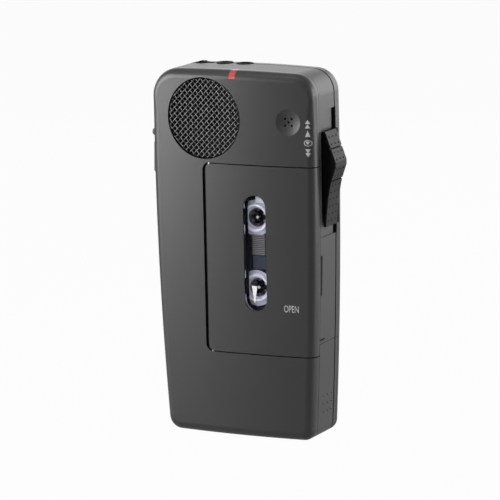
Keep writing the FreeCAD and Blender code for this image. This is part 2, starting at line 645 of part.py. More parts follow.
def build_side_frame():
    ring = common("frame_ring", walls, slab("frame_slab", SEAM_REAR, D.groove_front))
    shelf = common("bay_shelf", outer_form,
                   box("bay_shelf_block", (-FAR / 4, 24.6), (SEAM_REAR, D.groove_front - 0.1),
                       (D.shelf_level, D.shelf_level + D.shelf_thickness)))
    bosses = [rod(f"frame_boss_{index}", "y", D.case_boss, 2.2, D.groove_front - 0.1, spot)
              for index, spot in enumerate(CASE_SCREWS)]
    bosses += [box(f"frame_web_{index}", tuple(sorted((24.0 * side, 28.8 * side))),
                   (2.2, D.groove_front - 0.1), (D.case_screw_upper_z - 0.8, D.case_screw_upper_z + 0.8))
               for index, side in enumerate((-1, 1))]
    ledges = [
        box(f"deck_ledge_{index}", tuple(sorted((x - 1.3 * side, 28.7 * side))),
            (D.deck_front + D.deck_thickness, D.deck_front + D.deck_thickness + 1.6), (z - 2, z + 2))
        for index, (x, z) in enumerate(DECK_SCREWS) for side in (1 if x > 0 else -1,)
    ]
    body = fuse("frame_body", ring, shelf, *bosses, *ledges)
    boss_holes = [rod(f"frame_boss_hole_{index}", "y", D.screw_shank + 0.05, 2.6, D.groove_front + 1, spot)
                  for index, spot in enumerate(CASE_SCREWS)]
    ledge_holes = [rod(f"deck_ledge_hole_{index}", "y", 0.62, 1.0, 6.0, spot)
                   for index, spot in enumerate(DECK_SCREWS)]
    key_hole = box("key_hole", (-FAR / 4, -20.0), (D.key_front - D.fit_gap, D.key_rear + D.fit_gap),
                   (D.key_bottom - D.fit_gap, D.key_top + D.fit_gap))
    button_hole = rod("button_hole", "x", D.button_radius + D.fit_gap, -FAR / 4, -20.0,
                      (D.button_y, D.button_level))
    finger_notch = rod("finger_notch", "z", 1.5, 48.5, 61.9, (D.right_half + 0.1, SEAM_REAR))
    nail_slot = box("nail_slot", (28.0, FAR / 4), (SEAM_REAR - 1, -2.3), (33.4, 33.9))
    track = box("switch_track", (D.track_floor, FAR / 4), (D.track_front, D.groove_front + 1),
                (D.slot_bottom, D.slot_top))
    return cut("side_frame_solid", body, lid_block("frame_lid_gap", 0.0), slot_block(), wheel_slot(),
               socket_holes(), key_hole, button_hole, finger_notch, nail_slot, track, *boss_holes, *ledge_holes)


# ---------------------------------------------------------------- rear cover

def build_rear_cover():
    skin = common("rear_skin", walls, slab("rear_slab", D.groove_rear, BACK + 5))
    tongue = common("rear_tongue", lip, slab("tongue_slab", D.groove_front - D.lip_reach, D.groove_rear + 1.0))
    posts = [rod(f"rear_post_{index}", "y", D.case_boss + 0.3, D.groove_front, BACK - 1.0, spot)
             for index, spot in enumerate(CASE_SCREWS)]
    root = common("rear_tongue_root", lip_root, slab("root_slab", D.groove_rear + 0.1, D.groove_rear + 1.0))
    body = fuse("rear_body", skin, tongue, root, *posts)
    holes = [rod(f"rear_screw_hole_{index}", "y", D.screw_shank + 0.15, 0.0, BACK + 1, spot)
             for index, spot in enumerate(CASE_SCREWS)]
    sinks = [rod(f"rear_counterbore_{index}", "y", D.screw_head + 0.25, BACK - 2.2, BACK + 1, spot)
             for index, spot in enumerate(CASE_SCREWS)]
    hidden = [
        box("tongue_gap_cells", (-FAR / 4, -20.0), (-20.0, D.groove_rear), (3.0, 32.0)),
        box("tongue_gap_keys", (-FAR / 4, -20.0), (-20.0, D.groove_front), (84.0, 104.0)),
        box("tongue_gap_ledges", (20.0, FAR / 4), (-20.0, D.groove_rear - 0.2), (64.0, 111.5)),
        box("tongue_gap_posts", (-FAR / 4, FAR / 4), (-20.0, D.groove_front), (110.0, 116.0)),
        box("tongue_gap_wheel", (-23.6, -11.0), (-20.0, D.wheel_rear + D.fit_gap + 0.1), (112.0, 121.5)),
        box("tongue_gap_shelf", (-FAR / 4, FAR / 4), (-20.0, D.groove_front), (30.5, 40.6)),
    ]
    return cut("rear_cover_solid", body, lid_block("rear_lid_gap", 0.0), slot_block(), wheel_slot(),
               socket_holes(), *holes, *sinks, *hidden)


def build_case_screws():
    """Pan-head screws from the back into the frame's bosses."""
    head = BACK - 2.2
    screws = []
    for index, spot in enumerate(CASE_SCREWS):
        profile = [(0.0, 3.2), (D.screw_shank, 3.8), (D.screw_shank, head), (D.screw_head, head),
                   (D.screw_head, head + 0.7), (D.screw_head - 0.6, head + 1.2), (0.0, head + 1.2)]
        pan = turn(f"case_screw_{index}", "y", spot, profile)
        bars = [box(f"cross_{index}_{turned}", (spot[0] - wide, spot[0] + wide), (head + 0.5, BACK),
                    (spot[1] - tall, spot[1] + tall))
                for turned, (wide, tall) in enumerate(((1.05, 0.22), (0.22, 1.05)))]
        screws.append(cut(f"case_screw_crossed_{index}", pan, *bars))
    return collect("case_screws_group", screws)


# ---------------------------------------------------------------- battery bay

def build_battery_door():
    skin = common("lid_skin", cut("lid_walls", outer_form, moulded_form("lid_form", D.lid_wall)),
                  lid_block("lid_part", 0.15))
    tongue = box("lid_tongue", (26.3, 27.0), (-3.0, 0.4), (27.0, 34.2))
    web = box("lid_tongue_web", (26.3, 28.2), (-3.0, 0.4), (27.0, 31.5))
    ribs = [box(f"lid_rib_{index}", (26.15, 27.8), (place_ - 0.5, place_ + 0.5), (3.4, 27.0))
            for index, place_ in enumerate((-4.0, 2.0))]
    fitted = common("lid_inside", fuse("lid_inner_parts", tongue, web, *ribs), outer_form)
    groove = box("lid_groove", (10.0, FAR / 4), (D.groove_front, D.groove_rear), (-5.0, FAR / 4))
    groove_band = cut("lid_groove_band", groove, moulded_form("groove_form", 0.5))
    return cut("battery_door_solid", fuse("lid_body", skin, fitted), groove_band)


def cell_axis(level):
    return (D.cell_y, level)


def build_cell(name, level, flipped):
    """An AA cell lying across the bay."""
    end = D.cell_length
    profile = [(0.0, 0.0), (D.cell_radius - 0.3, 0.0), (D.cell_radius, 0.3), (D.cell_radius, end - 0.5),
               (D.cell_radius - 0.5, end), (D.cell_nub_radius, end), (D.cell_nub_radius, end + D.cell_nub),
               (0.0, end + D.cell_nub)]
    cell = turn(name, "x", cell_axis(level), profile, D.cell_left)
    if flipped:
        place(cell, (D.cell_left + end + D.cell_nub, *cell_axis(level)),
              FreeCAD.Rotation(FreeCAD.Vector(0, 1, 0), -90))
    return cell


def build_battery_tray():
    """Three scalloped ribs on a back wall that cradle both cells."""
    back = box("tray_back_wall", (-24.1, 21.0), (D.tray_back, D.tray_back + D.tray_wall), (2.4, D.bay_top - 0.1))
    ribs = [box(f"tray_rib_{index}", (middle - D.tray_rib / 2, middle + D.tray_rib / 2), (-0.4, D.tray_back),
                (2.0, D.bay_top)) for index, middle in enumerate((-18.0, 0.0, 18.0))]
    rib_set = common("tray_ribs", collect("tray_rib_set", ribs), lip_inner)
    fitted_back = common("tray_back", back, lip_inner)
    troughs = [rod(f"tray_trough_{index}", "x", D.cell_radius + 0.15, -FAR / 4, FAR / 4, cell_axis(level))
               for index, level in enumerate((D.cell_lower, D.cell_upper))]
    return cut("battery_tray_solid", fuse("tray_body", fitted_back, rib_set), *troughs)


def contact_plate(name, left, bottom, top):
    return box(name, (left, left + D.contact_thickness), (D.cell_y - 4.6, D.cell_y + 4.6), (bottom, top))


def build_contacts():
    left = D.cell_left - D.contact_thickness - 0.1
    plates = [contact_plate(f"contact_{index}", left, level - 5.0, level + 5.0)
              for index, level in enumerate((D.cell_lower, D.cell_upper))]
    return collect("battery_contacts_pair", plates)


def build_lid_contact():
    return contact_plate("lid_contact_solid", D.cell_left + D.cell_length + D.cell_nub + 0.35,
                         D.cell_lower - 5.0, D.cell_upper + 4.5)


# ---------------------------------------------------------------- slide switch

SWITCH_RIDGE = [
    (D.pad_bottom, D.pad_foot_x), (D.pad_bottom + 5, D.pad_foot_x + 0.45), (D.pad_bottom + 10, D.pad_foot_x + 1.05),
    (D.pad_lower_seam - 1.2, D.pad_foot_x + 1.9), (D.pad_lower_seam, D.pad_peak_x - 1.65),
    (D.pad_peak - 0.8, D.pad_peak_x), (D.pad_peak + 0.8, D.pad_peak_x), (D.pad_upper_seam, D.pad_peak_x - 1.6),
    (D.pad_top, D.pad_head_x),
]


def switch_profile(name, sink, front, rear):
    """The humped side profile of the switch, sunk by a given depth."""
    ridge = [(x - sink, z) for z, x in SWITCH_RIDGE]
    return extrude(name, "y", [(D.pad_seat_x, D.pad_bottom), *ridge, (D.pad_seat_x, D.pad_top)], front, rear)


def build_slide_switch():
    hump = switch_profile("switch_hump", D.pad_skin / 2, D.pad_front, D.pad_rear)
    flange = box("switch_flange", (D.pad_seat_x, D.pad_foot_x - 0.1), (D.pad_rear - 0.04, D.stem_rear),
                 (D.pad_bottom, D.pad_top))
    stem = box("switch_stem", (D.stem_inner_x, D.pad_foot_x - 0.1), (D.stem_front, D.stem_rear),
               (D.pad_bottom, D.pad_top))
    stop = box("switch_stop", (D.stem_inner_x, 27.4), (D.stem_front - 2.2, D.stem_rear), (80.0, 83.5))
    return fuse("slide_switch_solid", hump, flange, stem, stop)


def build_switch_pads():
    """Three grip pads inlaid on the hump, parted by two grooves, with rows of pimples."""
    full = switch_profile("pad_full", 0.0, D.pad_front + 0.35, D.pad_rear - 0.05)
    lower = switch_profile("pad_core", D.pad_skin / 2, D.pad_front - 1, D.pad_rear + 1)
    seams = [box(f"pad_seam_{index}", (20.0, 40.0), (-10.0, 10.0),
                 (level - D.pad_seam_width / 2, level + D.pad_seam_width / 2))
             for index, level in enumerate((D.pad_upper_seam, D.pad_lower_seam))]
    return cut("switch_pads_solid", full, fuse("pad_cutters", lower, *seams))


def build_function_switch():
    """The electrical switch that the slide works, on the board."""
    case = box("function_switch_case", (16.5, 23.2), (5.2, D.board_front), (74.0, 100.0))
    channel = box("function_switch_channel", (22.2, 24.0), (6.4, 7.9), (76.0, 98.0))
    return cut("function_switch_solid", case, channel)


# ---------------------------------------------------------------- keys and volume wheel

def build_record_key():
    cap = extrude("key_cap", "y",
                  [(D.key_flange_x, D.key_bottom), (D.key_face_x + 0.4, D.key_bottom),
                   (D.key_face_x, D.key_bottom + 0.5), (D.key_face_x + 0.25, D.key_top - 1.0),
                   (D.key_face_x + 0.7, D.key_top), (D.key_flange_x, D.key_top)],
                  D.key_front, D.key_rear)
    flange = box("key_flange_plate", (D.key_flange_x, D.key_flange_x + D.key_flange),
                 (D.key_front - D.key_rim, D.key_rear + D.key_rim), (D.key_bottom - D.key_rim, D.key_top + 0.35))
    return fuse("record_key_solid", cap, flange)


def build_index_button():
    depth = D.key_flange_x - D.button_face_x
    profile = [(0.0, 0.0), (D.button_radius + 0.5, 0.0), (D.button_radius + 0.5, -D.key_flange),
               (0.0, -D.key_flange)]
    flange = turn("button_flange", "x", (D.button_y, D.button_level), profile, D.key_flange_x + D.key_flange)
    dome = [(0.0, 0.0), (D.button_radius, 0.0), (D.button_radius, -depth + 0.7), (D.button_radius - 0.35, -depth + 0.2),
            (D.button_radius - 0.8, -depth), (0.0, -depth)]
    cap = turn("button_dome", "x", (D.button_y, D.button_level), dome, D.key_flange_x)
    return fuse("index_button_solid", cap, flange)


def build_volume_wheel():
    """A thumbwheel with a scalloped rim on its own short shaft."""
    disc = rod("wheel_disc", "y", D.wheel_radius, D.wheel_front, D.wheel_rear, (0.0, 0.0))
    shaft = rod("wheel_shaft", "y", D.wheel_shaft, D.wheel_front, D.wheel_rear + 1.5, (0.0, 0.0))
    count = 24
    notches = []
    for index in range(count):
        angle = 2 * math.pi * index / count
        centre = (D.wheel_radius * 1.03 * math.cos(angle), D.wheel_radius * 1.03 * math.sin(angle))
        notches.append(rod(f"wheel_notch_{index}", "y", 0.36, D.wheel_front - 1, D.wheel_rear + 1, centre))
    wheel = cut("volume_wheel_solid", fuse("wheel_body", disc, shaft), collect("wheel_notches", notches))
    return place(wheel, (D.wheel_x, 0.0, D.wheel_level))


def build_volume_control():
    case = box("volume_case", (D.wheel_x - 3.8, D.wheel_x + 3.8), (D.wheel_rear + D.fit_gap, D.board_front),
               (D.wheel_level - 3.3, D.wheel_level + 1.6))
    bore = rod("volume_bore", "y", D.wheel_shaft + 0.06, D.wheel_rear, D.board_front - 0.3,
               (D.wheel_x, D.wheel_level))
    return cut("volume_control_solid", case, bore)


def build_socket(name, middle, bore_radius):
    """A round-nosed plug socket on the seam."""
    collar = rod(name + "_collar", "z", D.socket_collar, D.body_height - 3, D.socket_top, (middle, D.seam_line))
    case = box(name + "_case", (middle - D.socket_half, middle + D.socket_half),
               (D.seam_line - D.socket_half, D.board_front), (D.socket_bottom, D.body_height - 2.8))
    bore = rod(name + "_bore", "z", bore_radius, D.socket_top - D.socket_bore_depth, D.socket_top + 1,
               (middle, D.seam_line))
    return cut(name + "_solid", fuse(name + "_body", collar, case), bore)


# ---------------------------------------------------------------- sound and electronics

def build_speaker():
    """Magnet, basket and cone turned as one."""
    r = D.speaker_radius
    profile = [(0.0, D.speaker_back), (7.0, D.speaker_back), (7.0, D.speaker_back - 2.4), (r - 2.5, -6.4),
               (r, D.speaker_front + 1.0), (r, D.speaker_front), (r - 1.2, D.speaker_front),
               (r - 2.0, D.speaker_front + 0.6), (4.0, -6.6), (2.4, -7.2), (0.0, -7.5)]
    return turn("speaker_solid", "y", (D.speaker_x, D.speaker_level), profile)


def build_microphone():
    return rod("microphone_solid", "y", D.capsule_radius, D.capsule_front, D.capsule_front + D.capsule_depth,
               (D.microphone_x, D.microphone_level))


def build_microphone_boot():
    outer, inner = D.capsule_radius + D.boot_wall, D.capsule_radius
    back = D.capsule_front + D.capsule_depth
    profile = [(inner - 1.0, D.capsule_front - 0.5), (outer, D.capsule_front - 0.5), (outer, back + 0.8),
               (inner - 1.4, back + 0.8), (inner - 1.4, back), (inner, back), (inner, D.capsule_front),
               (inner - 1.0, D.capsule_front)]
    return turn("microphone_boot_solid", "y", (D.microphone_x, D.microphone_level), profile)


def build_circuit_board():
    front, back = D.board_front, D.board_front + D.board_thickness
    outline = [(-24.0, 39.2), (24.0, 39.2), (24.0, 109.6), (20.6, 109.6), (20.6, 118.8), (-20.9, 118.8),
               (-20.9, 109.6), (-24.0, 109.6)]
    board = extrude("board_panel", "y", outline, front, back)
    chips = [box(f"chip_{index}", (x, x + wide), (front - 1.2, front), (z, z + tall))
             for index, (x, z, wide, tall) in enumerate(((-20, 92, 9, 7), (-2, 96, 12, 6), (-18, 74, 6, 12)))]
    return fuse("circuit_board_solid", board, *chips)


# ---------------------------------------------------------------- tape deck

SPINDLES = {"supply": D.reel_upper, "take_up": D.reel_lower}
DECK_BACK = D.deck_front + D.deck_thickness
CARRIAGE_STUDS = [(-18.5, 57.4), (-18.5, 66.8)]


def build_chassis_plate():
    """The pressed deck plate, with cut-outs and a folded foot."""
    low, high = D.deck_bottom, D.deck_top
    points = [(D.deck_left, low), (D.deck_right, low), (D.deck_right, high), (D.deck_left, high)]
    plate = extrude("deck_sheet", "y", points, D.deck_front, DECK_BACK, 2.0)
    foot = box("deck_foot", (-16.0, 16.0), (D.deck_front, D.deck_front + 4.0), (low, low + 0.8))
    holes = [rod(f"bush_hole_{index}", "y", D.bush_radius, 0.0, 3.0, spot)
             for index, spot in enumerate(bush_spots())]
    holes.append(rod("motor_hole", "y", D.pulley_radius + 0.6, 0.0, 3.0, (D.motor_x, D.motor_level)))
    holes += [rod(f"deck_screw_hole_{index}", "y", 0.85, 0.0, 3.0, spot)
              for index, spot in enumerate(DECK_SCREWS)]
    holes += [rod(f"stud_hole_{index}", "y", 0.9, 0.0, 3.0, spot) for index, spot in enumerate(CARRIAGE_STUDS)]
    windows = [
        extrude("deck_cut_upper", "y", [(-21, 76), (-12, 76), (-12, 86), (-21, 86)], 0.0, 3.0, 1.5),
        extrude("deck_cut_lower", "y", [(14, 38), (22, 38), (22, 44), (14, 44)], 0.0, 3.0, 1.5),
    ]
    return cut("chassis_plate_solid", fuse("deck_body", plate, foot), *holes, *windows)


def bush_spots():
    return [*((D.reel_x, level) for level in SPINDLES.values()), (D.wheel_axis_x, D.wheel_axis_z)]


def build_bushes():
    profile = [(D.spindle_shaft + 0.05, DECK_BACK - 1.0), (D.bush_radius, DECK_BACK - 1.0),
               (D.bush_radius, DECK_BACK), (D.bush_radius + 0.6, DECK_BACK), (D.bush_radius + 0.6, DECK_BACK + 0.3),
               (D.spindle_shaft + 0.05, DECK_BACK + 0.3)]
    bushes = [turn(f"bush_{index}", "y", spot, profile) for index, spot in enumerate(bush_spots())]
    return collect("spindle_bushes_group", bushes)


def build_deck_screws():
    profile = [(0.0, D.deck_front - 0.8), (0.8, D.deck_front - 0.8), (1.3, D.deck_front - 0.4),
               (1.3, D.deck_front), (0.6, D.deck_front), (0.6, 3.3), (0.0, 3.3)]
    screws = [turn(f"deck_screw_{index}", "y", spot, profile) for index, spot in enumerate(DECK_SCREWS)]
    return collect("deck_screws_group", screws)


def build_spindle(name, level):
    """A three-finned post with its turntable, shaft and drum."""
    tip, table = D.spindle_tip, D.deck_front - 0.3
    profile = [(0.0, tip), (0.6, tip), (D.spindle_post, tip + 1.2), (D.spindle_post, table - 0.8),
               (D.turntable_radius, table - 0.8), (D.turntable_radius, table - 0.1),
               (D.spindle_shaft, table - 0.1), (D.spindle_shaft, D.drum_front),
               (D.drum_radius, D.drum_front), (D.drum_radius, D.drum_back), (2.0, D.drum_back),
               (2.0, D.drum_back + 0.6), (0.0, D.drum_back + 0.6)]
    turned = turn(name + "_turned", "y", (0.0, 0.0), profile)
    fins = []
    for index in range(3):
        fin = box(f"{name}_fin_{index}", (1.0, D.spindle_fin), (tip + 1.2, table - 0.8), (-0.4, 0.4))
        angle = FreeCAD.Rotation(FreeCAD.Vector(0, 1, 0), 120 * index)
        holder = collect(f"{name}_fin_turned_{index}", [fin])
        fin.setExpression("Placement.Base.x", None)
        fin.Placement = FreeCAD.Placement(FreeCAD.Vector(), angle).multiply(
            FreeCAD.Placement(FreeCAD.Vector(1.0, fin.Placement.Base.y, -0.4), FreeCAD.Rotation()))
        fin.setExpression("Placement.Base.z", None)
        fins.append(holder)
    return place(fuse(name + "_solid", turned, *fins), (D.reel_x, 0.0, level))


def build_reel(name, level):
    """A cassette hub ring with six inward teeth."""
    profile = [(D.hub_bore, D.hub_front), (D.hub_radius - 0.7, D.hub_front), (D.hub_radius, D.hub_front + 0.6),
               (D.hub_radius, D.hub_back), (D.hub_bore, D.hub_back)]
    ring = turn(name + "_ring", "y", (0.0, 0.0), profile)
    teeth = []
    for index in range(6):
        angle = math.radians(30 + 60 * index)
        tooth = doc.addObject("Part::Box", f"{name}_tooth_{index}")
        tooth.Length, tooth.Height = 1.1, 0.7
        bind(tooth, "Width", D.hub_back - D.hub_front - 1.0)
        turn_ = FreeCAD.Rotation(FreeCAD.Vector(0, 1, 0), -math.degrees(angle))
        tooth.Placement = FreeCAD.Placement(FreeCAD.Vector(), turn_).multiply(
            FreeCAD.Placement(FreeCAD.Vector(2.1, D.hub_front.number + 0.5, -0.35), FreeCAD.Rotation()))
        teeth.append(tooth)
    return place(fuse(name + "_solid", ring, *teeth), (D.reel_x, 0.0, level))


def build_tape_pack(name, level, radius):
    profile = [(D.hub_radius, D.tape_front), (radius, D.tape_front), (radius, D.tape_back),
               (D.hub_radius, D.tape_back)]
    return turn(name + "_solid", "y", (D.reel_x, level), profile)


def build_cassette_shell():
    """A flat hollow shell with two hub holes and a mouth for the head."""
    left, right = D.cassette_left, D.cassette_left + D.cassette_width
    low = D.cassette_middle - D.cassette_length / 2
    high = D.cassette_middle + D.cassette_length / 2
    front, back = D.cassette_front, D.cassette_front + D.cassette_depth
    skin = D.cassette_wall
    outer = extrude("shell_outer", "y", [(left, low), (right, low), (right, high), (left, high)],
                    front, back, D.cassette_corner)
    inner = extrude("shell_inner", "y",
                    [(left + skin, low + skin), (right - skin, low + skin), (right - skin, high - skin),
                     (left + skin, high - skin)], front + skin, back - skin, D.cassette_corner - skin / 2)
    holes = [rod(f"shell_hub_hole_{index}", "y", D.hub_hole, front - 1, back + 1, (D.reel_x, level))
             for index, level in enumerate(SPINDLES.values())]
    mouth = box("shell_mouth", (left - 1, left + 3), (D.tape_front - 0.8, back + 1),
                (D.head_level - D.head_height / 2 - 1.5, D.head_level + D.head_height / 2 + 1.5))
    return cut("cassette_shell_solid", outer, inner, *holes, mouth)


GUIDES = [(-5.6, 85.6), (-5.6, 38.6)]


def build_guide_rollers():
    rollers = [rod(f"guide_{index}", "y", 1.2, D.cassette_front + D.cassette_wall,
                   D.cassette_front + D.cassette_depth - D.cassette_wall, spot)
               for index, spot in enumerate(GUIDES)]
    return collect("guide_rollers_pair", rollers)


def build_tape_run():
    """The tape between the two packs, round both guides: three thin straight runs."""
    thickness = 0.12
    x_run = GUIDES[0][0] - 1.35
    spans = [
        ((-4.6, 86.75), (D.reel_x.number - 1.2, D.reel_upper.number + D.full_pack.number + 0.35)),
        ((x_run, GUIDES[0][1]), (x_run, GUIDES[1][1])),
        ((-4.6, 37.45), (D.reel_x.number - 1.6, D.reel_lower.number - D.part_pack.number - 0.35)),
    ]
    runs = []
    for index, (start, end) in enumerate(spans):
        length = math.hypot(end[0] - start[0], end[1] - start[1])
        nx = (end[1] - start[1]) / length * thickness
        nz = -(end[0] - start[0]) / length * thickness
        points = [start, end, (end[0] + nx, end[1] + nz), (start[0] + nx, start[1] + nz)]
        runs.append(extrude(f"tape_span_{index}", "y", points, D.tape_front, D.tape_back))
    return collect("tape_run_spans", runs)


def build_drive_wheel():
    """The rubber-tyred wheel that turns the take-up drum, with its belt pulley behind."""
    rim = D.belt_wheel_radius
    profile = [(0.0, D.deck_front), (D.spindle_shaft, D.deck_front), (D.spindle_shaft, D.drum_front),
               (D.drive_radius, D.drum_front), (D.drive_radius, D.drum_back), (rim + 0.6, D.drum_back + 0.1),
               (rim, D.belt_front - 0.1), (rim, D.belt_back + 0.1), (rim + 0.6, D.belt_back + 0.3),
               (rim + 0.6, D.belt_back + 0.6), (1.6, D.belt_back + 0.6), (0.0, D.belt_back + 0.6)]
    return turn("drive_wheel_solid", "y", (D.wheel_axis_x, D.wheel_axis_z), profile)


def build_motor():
    r = D.motor_radius
    profile = [(0.0, D.motor_front), (1.8, D.motor_front), (1.8, D.motor_front + 0.4), (r - 0.8, D.motor_front + 0.4),
               (r, D.motor_front + 1.2), (r, D.deck_front), (1.6, D.deck_front), (1.6, DECK_BACK - 0.2),
               (0.6, DECK_BACK - 0.2), (0.6, D.deck_front - 1.0), (0.0, D.deck_front - 1.0)]
    return turn("motor_solid", "y", (D.motor_x, D.motor_level), profile)


def build_motor_pulley():
    profile = [(0.0, D.deck_front - 0.7), (0.5, D.deck_front - 0.7), (0.5, DECK_BACK + 1.4),
               (D.pulley_radius + 0.5, DECK_BACK + 1.4), (D.pulley_radius + 0.5, D.belt_front - 0.3),
               (D.pulley_radius, D.belt_front - 0.1), (D.pulley_radius, D.belt_back + 0.1),
               (D.pulley_radius + 0.5, D.belt_back + 0.3), (D.pulley_radius + 0.5, D.belt_back + 0.6),
               (0.0, D.belt_back + 0.6)]
    return turn("motor_pulley_solid", "y", (D.motor_x, D.motor_level), profile)


def belt_loop(extra):
    """A closed loop round both pulleys, extra outside them, as a solid."""
    near = FreeCAD.Vector(D.motor_x.number, D.belt_front.number, D.motor_level.number)
    far = FreeCAD.Vector(D.wheel_axis_x.number, D.belt_front.number, D.wheel_axis_z.number)
    radii = (D.pulley_radius.number + extra, D.belt_wheel_radius.number + extra)
    along = (far - near).normalize()
    across = FreeCAD.Vector(along.z, 0, -along.x)
    lean = math.asin((radii[1] - radii[0]) / far.distanceToPoint(near))
    sides = [(along * -math.sin(lean) + across * (sign * math.cos(lean))) for sign in (1, -1)]
    touches = [near + sides[0] * radii[0], far + sides[0] * radii[1], far + sides[1] * radii[1],
               near + sides[1] * radii[0]]
    edges = [
        Part.LineSegment(touches[0], touches[1]).toShape(),
        Part.Arc(touches[1], far + along * radii[1], touches[2]).toShape(),
        Part.LineSegment(touches[2], touches[3]).toShape(),
        Part.Arc(touches[3], near - along * radii[0], touches[0]).toShape(),
    ]
    depth = FreeCAD.Vector(0, (D.belt_back - D.belt_front).number, 0)
    return Part.Face(Part.Wire(edges)).extrude(depth)


def build_drive_belt():
    belt = doc.addObject("Part::Feature", "drive_belt_solid")
    belt.Shape = belt_loop(0.06 + D.belt_thickness.number).cut(belt_loop(0.06))
    belt.Placement = FreeCAD.Placement()
    return belt


def build_head_carriage():
    """The sliding plate that brings the head to the tape."""
    rear = D.deck_front - 0.35
    front = rear - 0.8
    points = [(D.carriage_left, D.carriage_bottom), (D.carriage_right, D.carriage_bottom),
              (D.carriage_right, D.carriage_top), (D.carriage_left, D.carriage_top)]
    plate = extrude("carriage_sheet", "y", points, front, rear, 1.5)
    lug = box("carriage_lug", (D.carriage_left, D.carriage_left + 0.8), (front - 2.6, rear),
              (D.head_level - 3, D.head_level + 3))
    slots = []
    for index, (x, z) in enumerate(CARRIAGE_STUDS):
        slots.append(box(f"carriage_slot_{index}", (x - 3.0, x + 2.2), (-5.0, 3.0), (z - 1.1, z + 1.1)))
    return cut("head_carriage_solid", fuse("carriage_body", plate, lug), *slots)


def build_carriage_studs():
    rear = D.deck_front - 0.35
    profile = [(0.0, rear - 1.7), (1.7, rear - 1.7), (1.7, rear - 1.15), (0.8, rear - 1.15), (0.8, DECK_BACK),
               (0.0, DECK_BACK)]
    studs = [turn(f"carriage_stud_{index}", "y", spot, profile) for index, spot in enumerate(CARRIAGE_STUDS)]
    return collect("carriage_studs_pair", studs)


def build_tape_head():
    """A head block with a rounded face towards the tape."""
    rear = D.deck_front - 0.35 - 0.8
    low, high = D.head_level - D.head_height / 2, D.head_level + D.head_height / 2
    block = box("head_block", (D.head_x - D.head_length, D.head_x), (D.tape_front - 0.2, rear), (low, high))
    rounded = rod("head_round", "y", 6.0, D.tape_front - 1, 2.0, (D.head_x - 6.0, D.head_level))
    return common("tape_head_solid", block, rounded)


# ---------------------------------------------------------------- all sub-parts

nodes = {
    "front_cover": build_front_cover(),
    "speaker_grille": build_speaker_grille(),
    "record_light": build_record_light(),
    "cassette_door": build_cassette_door(),
    "door_window": build_door_window(),
    "door_hinge_pins": build_hinge_pins(),
    "cassette_spring": build_cassette_spring(),
    "side_frame": build_side_frame(),
    "rear_cover": build_rear_cover(),
    "case_screws": build_case_screws(),
    "battery_door": build_battery_door(),
    "battery_cell_lower": build_cell("lower_cell", D.cell_lower, False),
    "battery_cell_upper": build_cell("upper_cell", D.cell_upper, True),
    "battery_tray": build_battery_tray(),
    "battery_contacts": build_contacts(),
    "lid_contact": build_lid_contact(),
    "slide_switch": build_slide_switch(),
    "switch_pads": build_switch_pads(),
    "function_switch": build_function_switch(),
    "record_key": build_record_key(),
    "index_button": build_index_button(),
    "volume_wheel": build_volume_wheel(),
    "volume_control": build_volume_control(),
    "microphone_socket": build_socket("left_socket", D.socket_left_x, D.socket_left_bore),
    "earphone_socket": build_socket("right_socket", D.socket_right_x, D.socket_right_bore),
    "speaker": build_speaker(),
    "microphone": build_microphone(),
    "microphone_boot": build_microphone_boot(),
    "circuit_board": build_circuit_board(),
    "chassis_plate": build_chassis_plate(),
    "spindle_bushes": build_bushes(),
    "deck_screws": build_deck_screws(),
    "supply_spindle": build_spindle("supply_spindle_body", D.reel_upper),
    "take_up_spindle": build_spindle("take_up_spindle_body", D.reel_lower),
    "supply_reel": build_reel("supply_hub", D.reel_upper),
    "take_up_reel": build_reel("take_up_hub", D.reel_lower),
    "supply_tape": build_tape_pack("supply_pack", D.reel_upper, D.full_pack),
    "take_up_tape": build_tape_pack("take_up_pack", D.reel_lower, D.part_pack),
    "cassette_shell": build_cassette_shell(),
    "guide_rollers": build_guide_rollers(),
    "tape_run": build_tape_run(),
    "drive_wheel": build_drive_wheel(),
    "motor": build_motor(),
    "motor_pulley": build_motor_pulley(),
    "drive_belt": build_drive_belt(),
    "head_carriage": build_head_carriage(),
    "carriage_studs": build_carriage_studs(),
    "tape_head": build_tape_head(),
}
doc.recompute()

for thing in doc.Objects:
    if "Invalid" in thing.State or "Error" in thing.State:
        raise RuntimeError(f"{thing.Name} failed: {thing.State}")

os.makedirs("parts", exist_ok=True)
for label, node in nodes.items():
    node.Label = label
    if node.Shape.isNull() or not node.Shape.isValid():
        raise RuntimeError(f"{label} has no valid shape")
    node.Shape.exportStep(f"parts/{label}.step")
    print(f"{label}: {len(node.Shape.Solids)} solid(s), {node.Shape.Volume:.0f} mm3")
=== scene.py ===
import math

import bmesh
import bpy
from mathutils import Matrix, Vector
from mathutils.bvhtree import BVHTree


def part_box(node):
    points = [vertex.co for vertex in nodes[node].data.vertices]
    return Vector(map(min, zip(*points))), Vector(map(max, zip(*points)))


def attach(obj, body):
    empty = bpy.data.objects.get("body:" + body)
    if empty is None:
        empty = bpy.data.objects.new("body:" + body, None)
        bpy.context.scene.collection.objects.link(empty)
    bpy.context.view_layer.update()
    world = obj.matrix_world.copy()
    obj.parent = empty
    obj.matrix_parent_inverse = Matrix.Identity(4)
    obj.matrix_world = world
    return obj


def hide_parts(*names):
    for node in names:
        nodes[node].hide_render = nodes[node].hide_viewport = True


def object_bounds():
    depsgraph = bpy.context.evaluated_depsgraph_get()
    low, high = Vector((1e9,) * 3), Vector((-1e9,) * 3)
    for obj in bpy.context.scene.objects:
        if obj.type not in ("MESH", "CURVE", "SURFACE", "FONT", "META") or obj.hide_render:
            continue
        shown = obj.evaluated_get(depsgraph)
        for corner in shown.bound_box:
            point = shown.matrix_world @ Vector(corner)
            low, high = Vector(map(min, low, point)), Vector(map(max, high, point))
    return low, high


# Looks for the pocket dictation machine: surface finishes, the printed signs, the woven
# speaker mesh, the grip pimples and the cassette's small details. Metres, CAD frame.

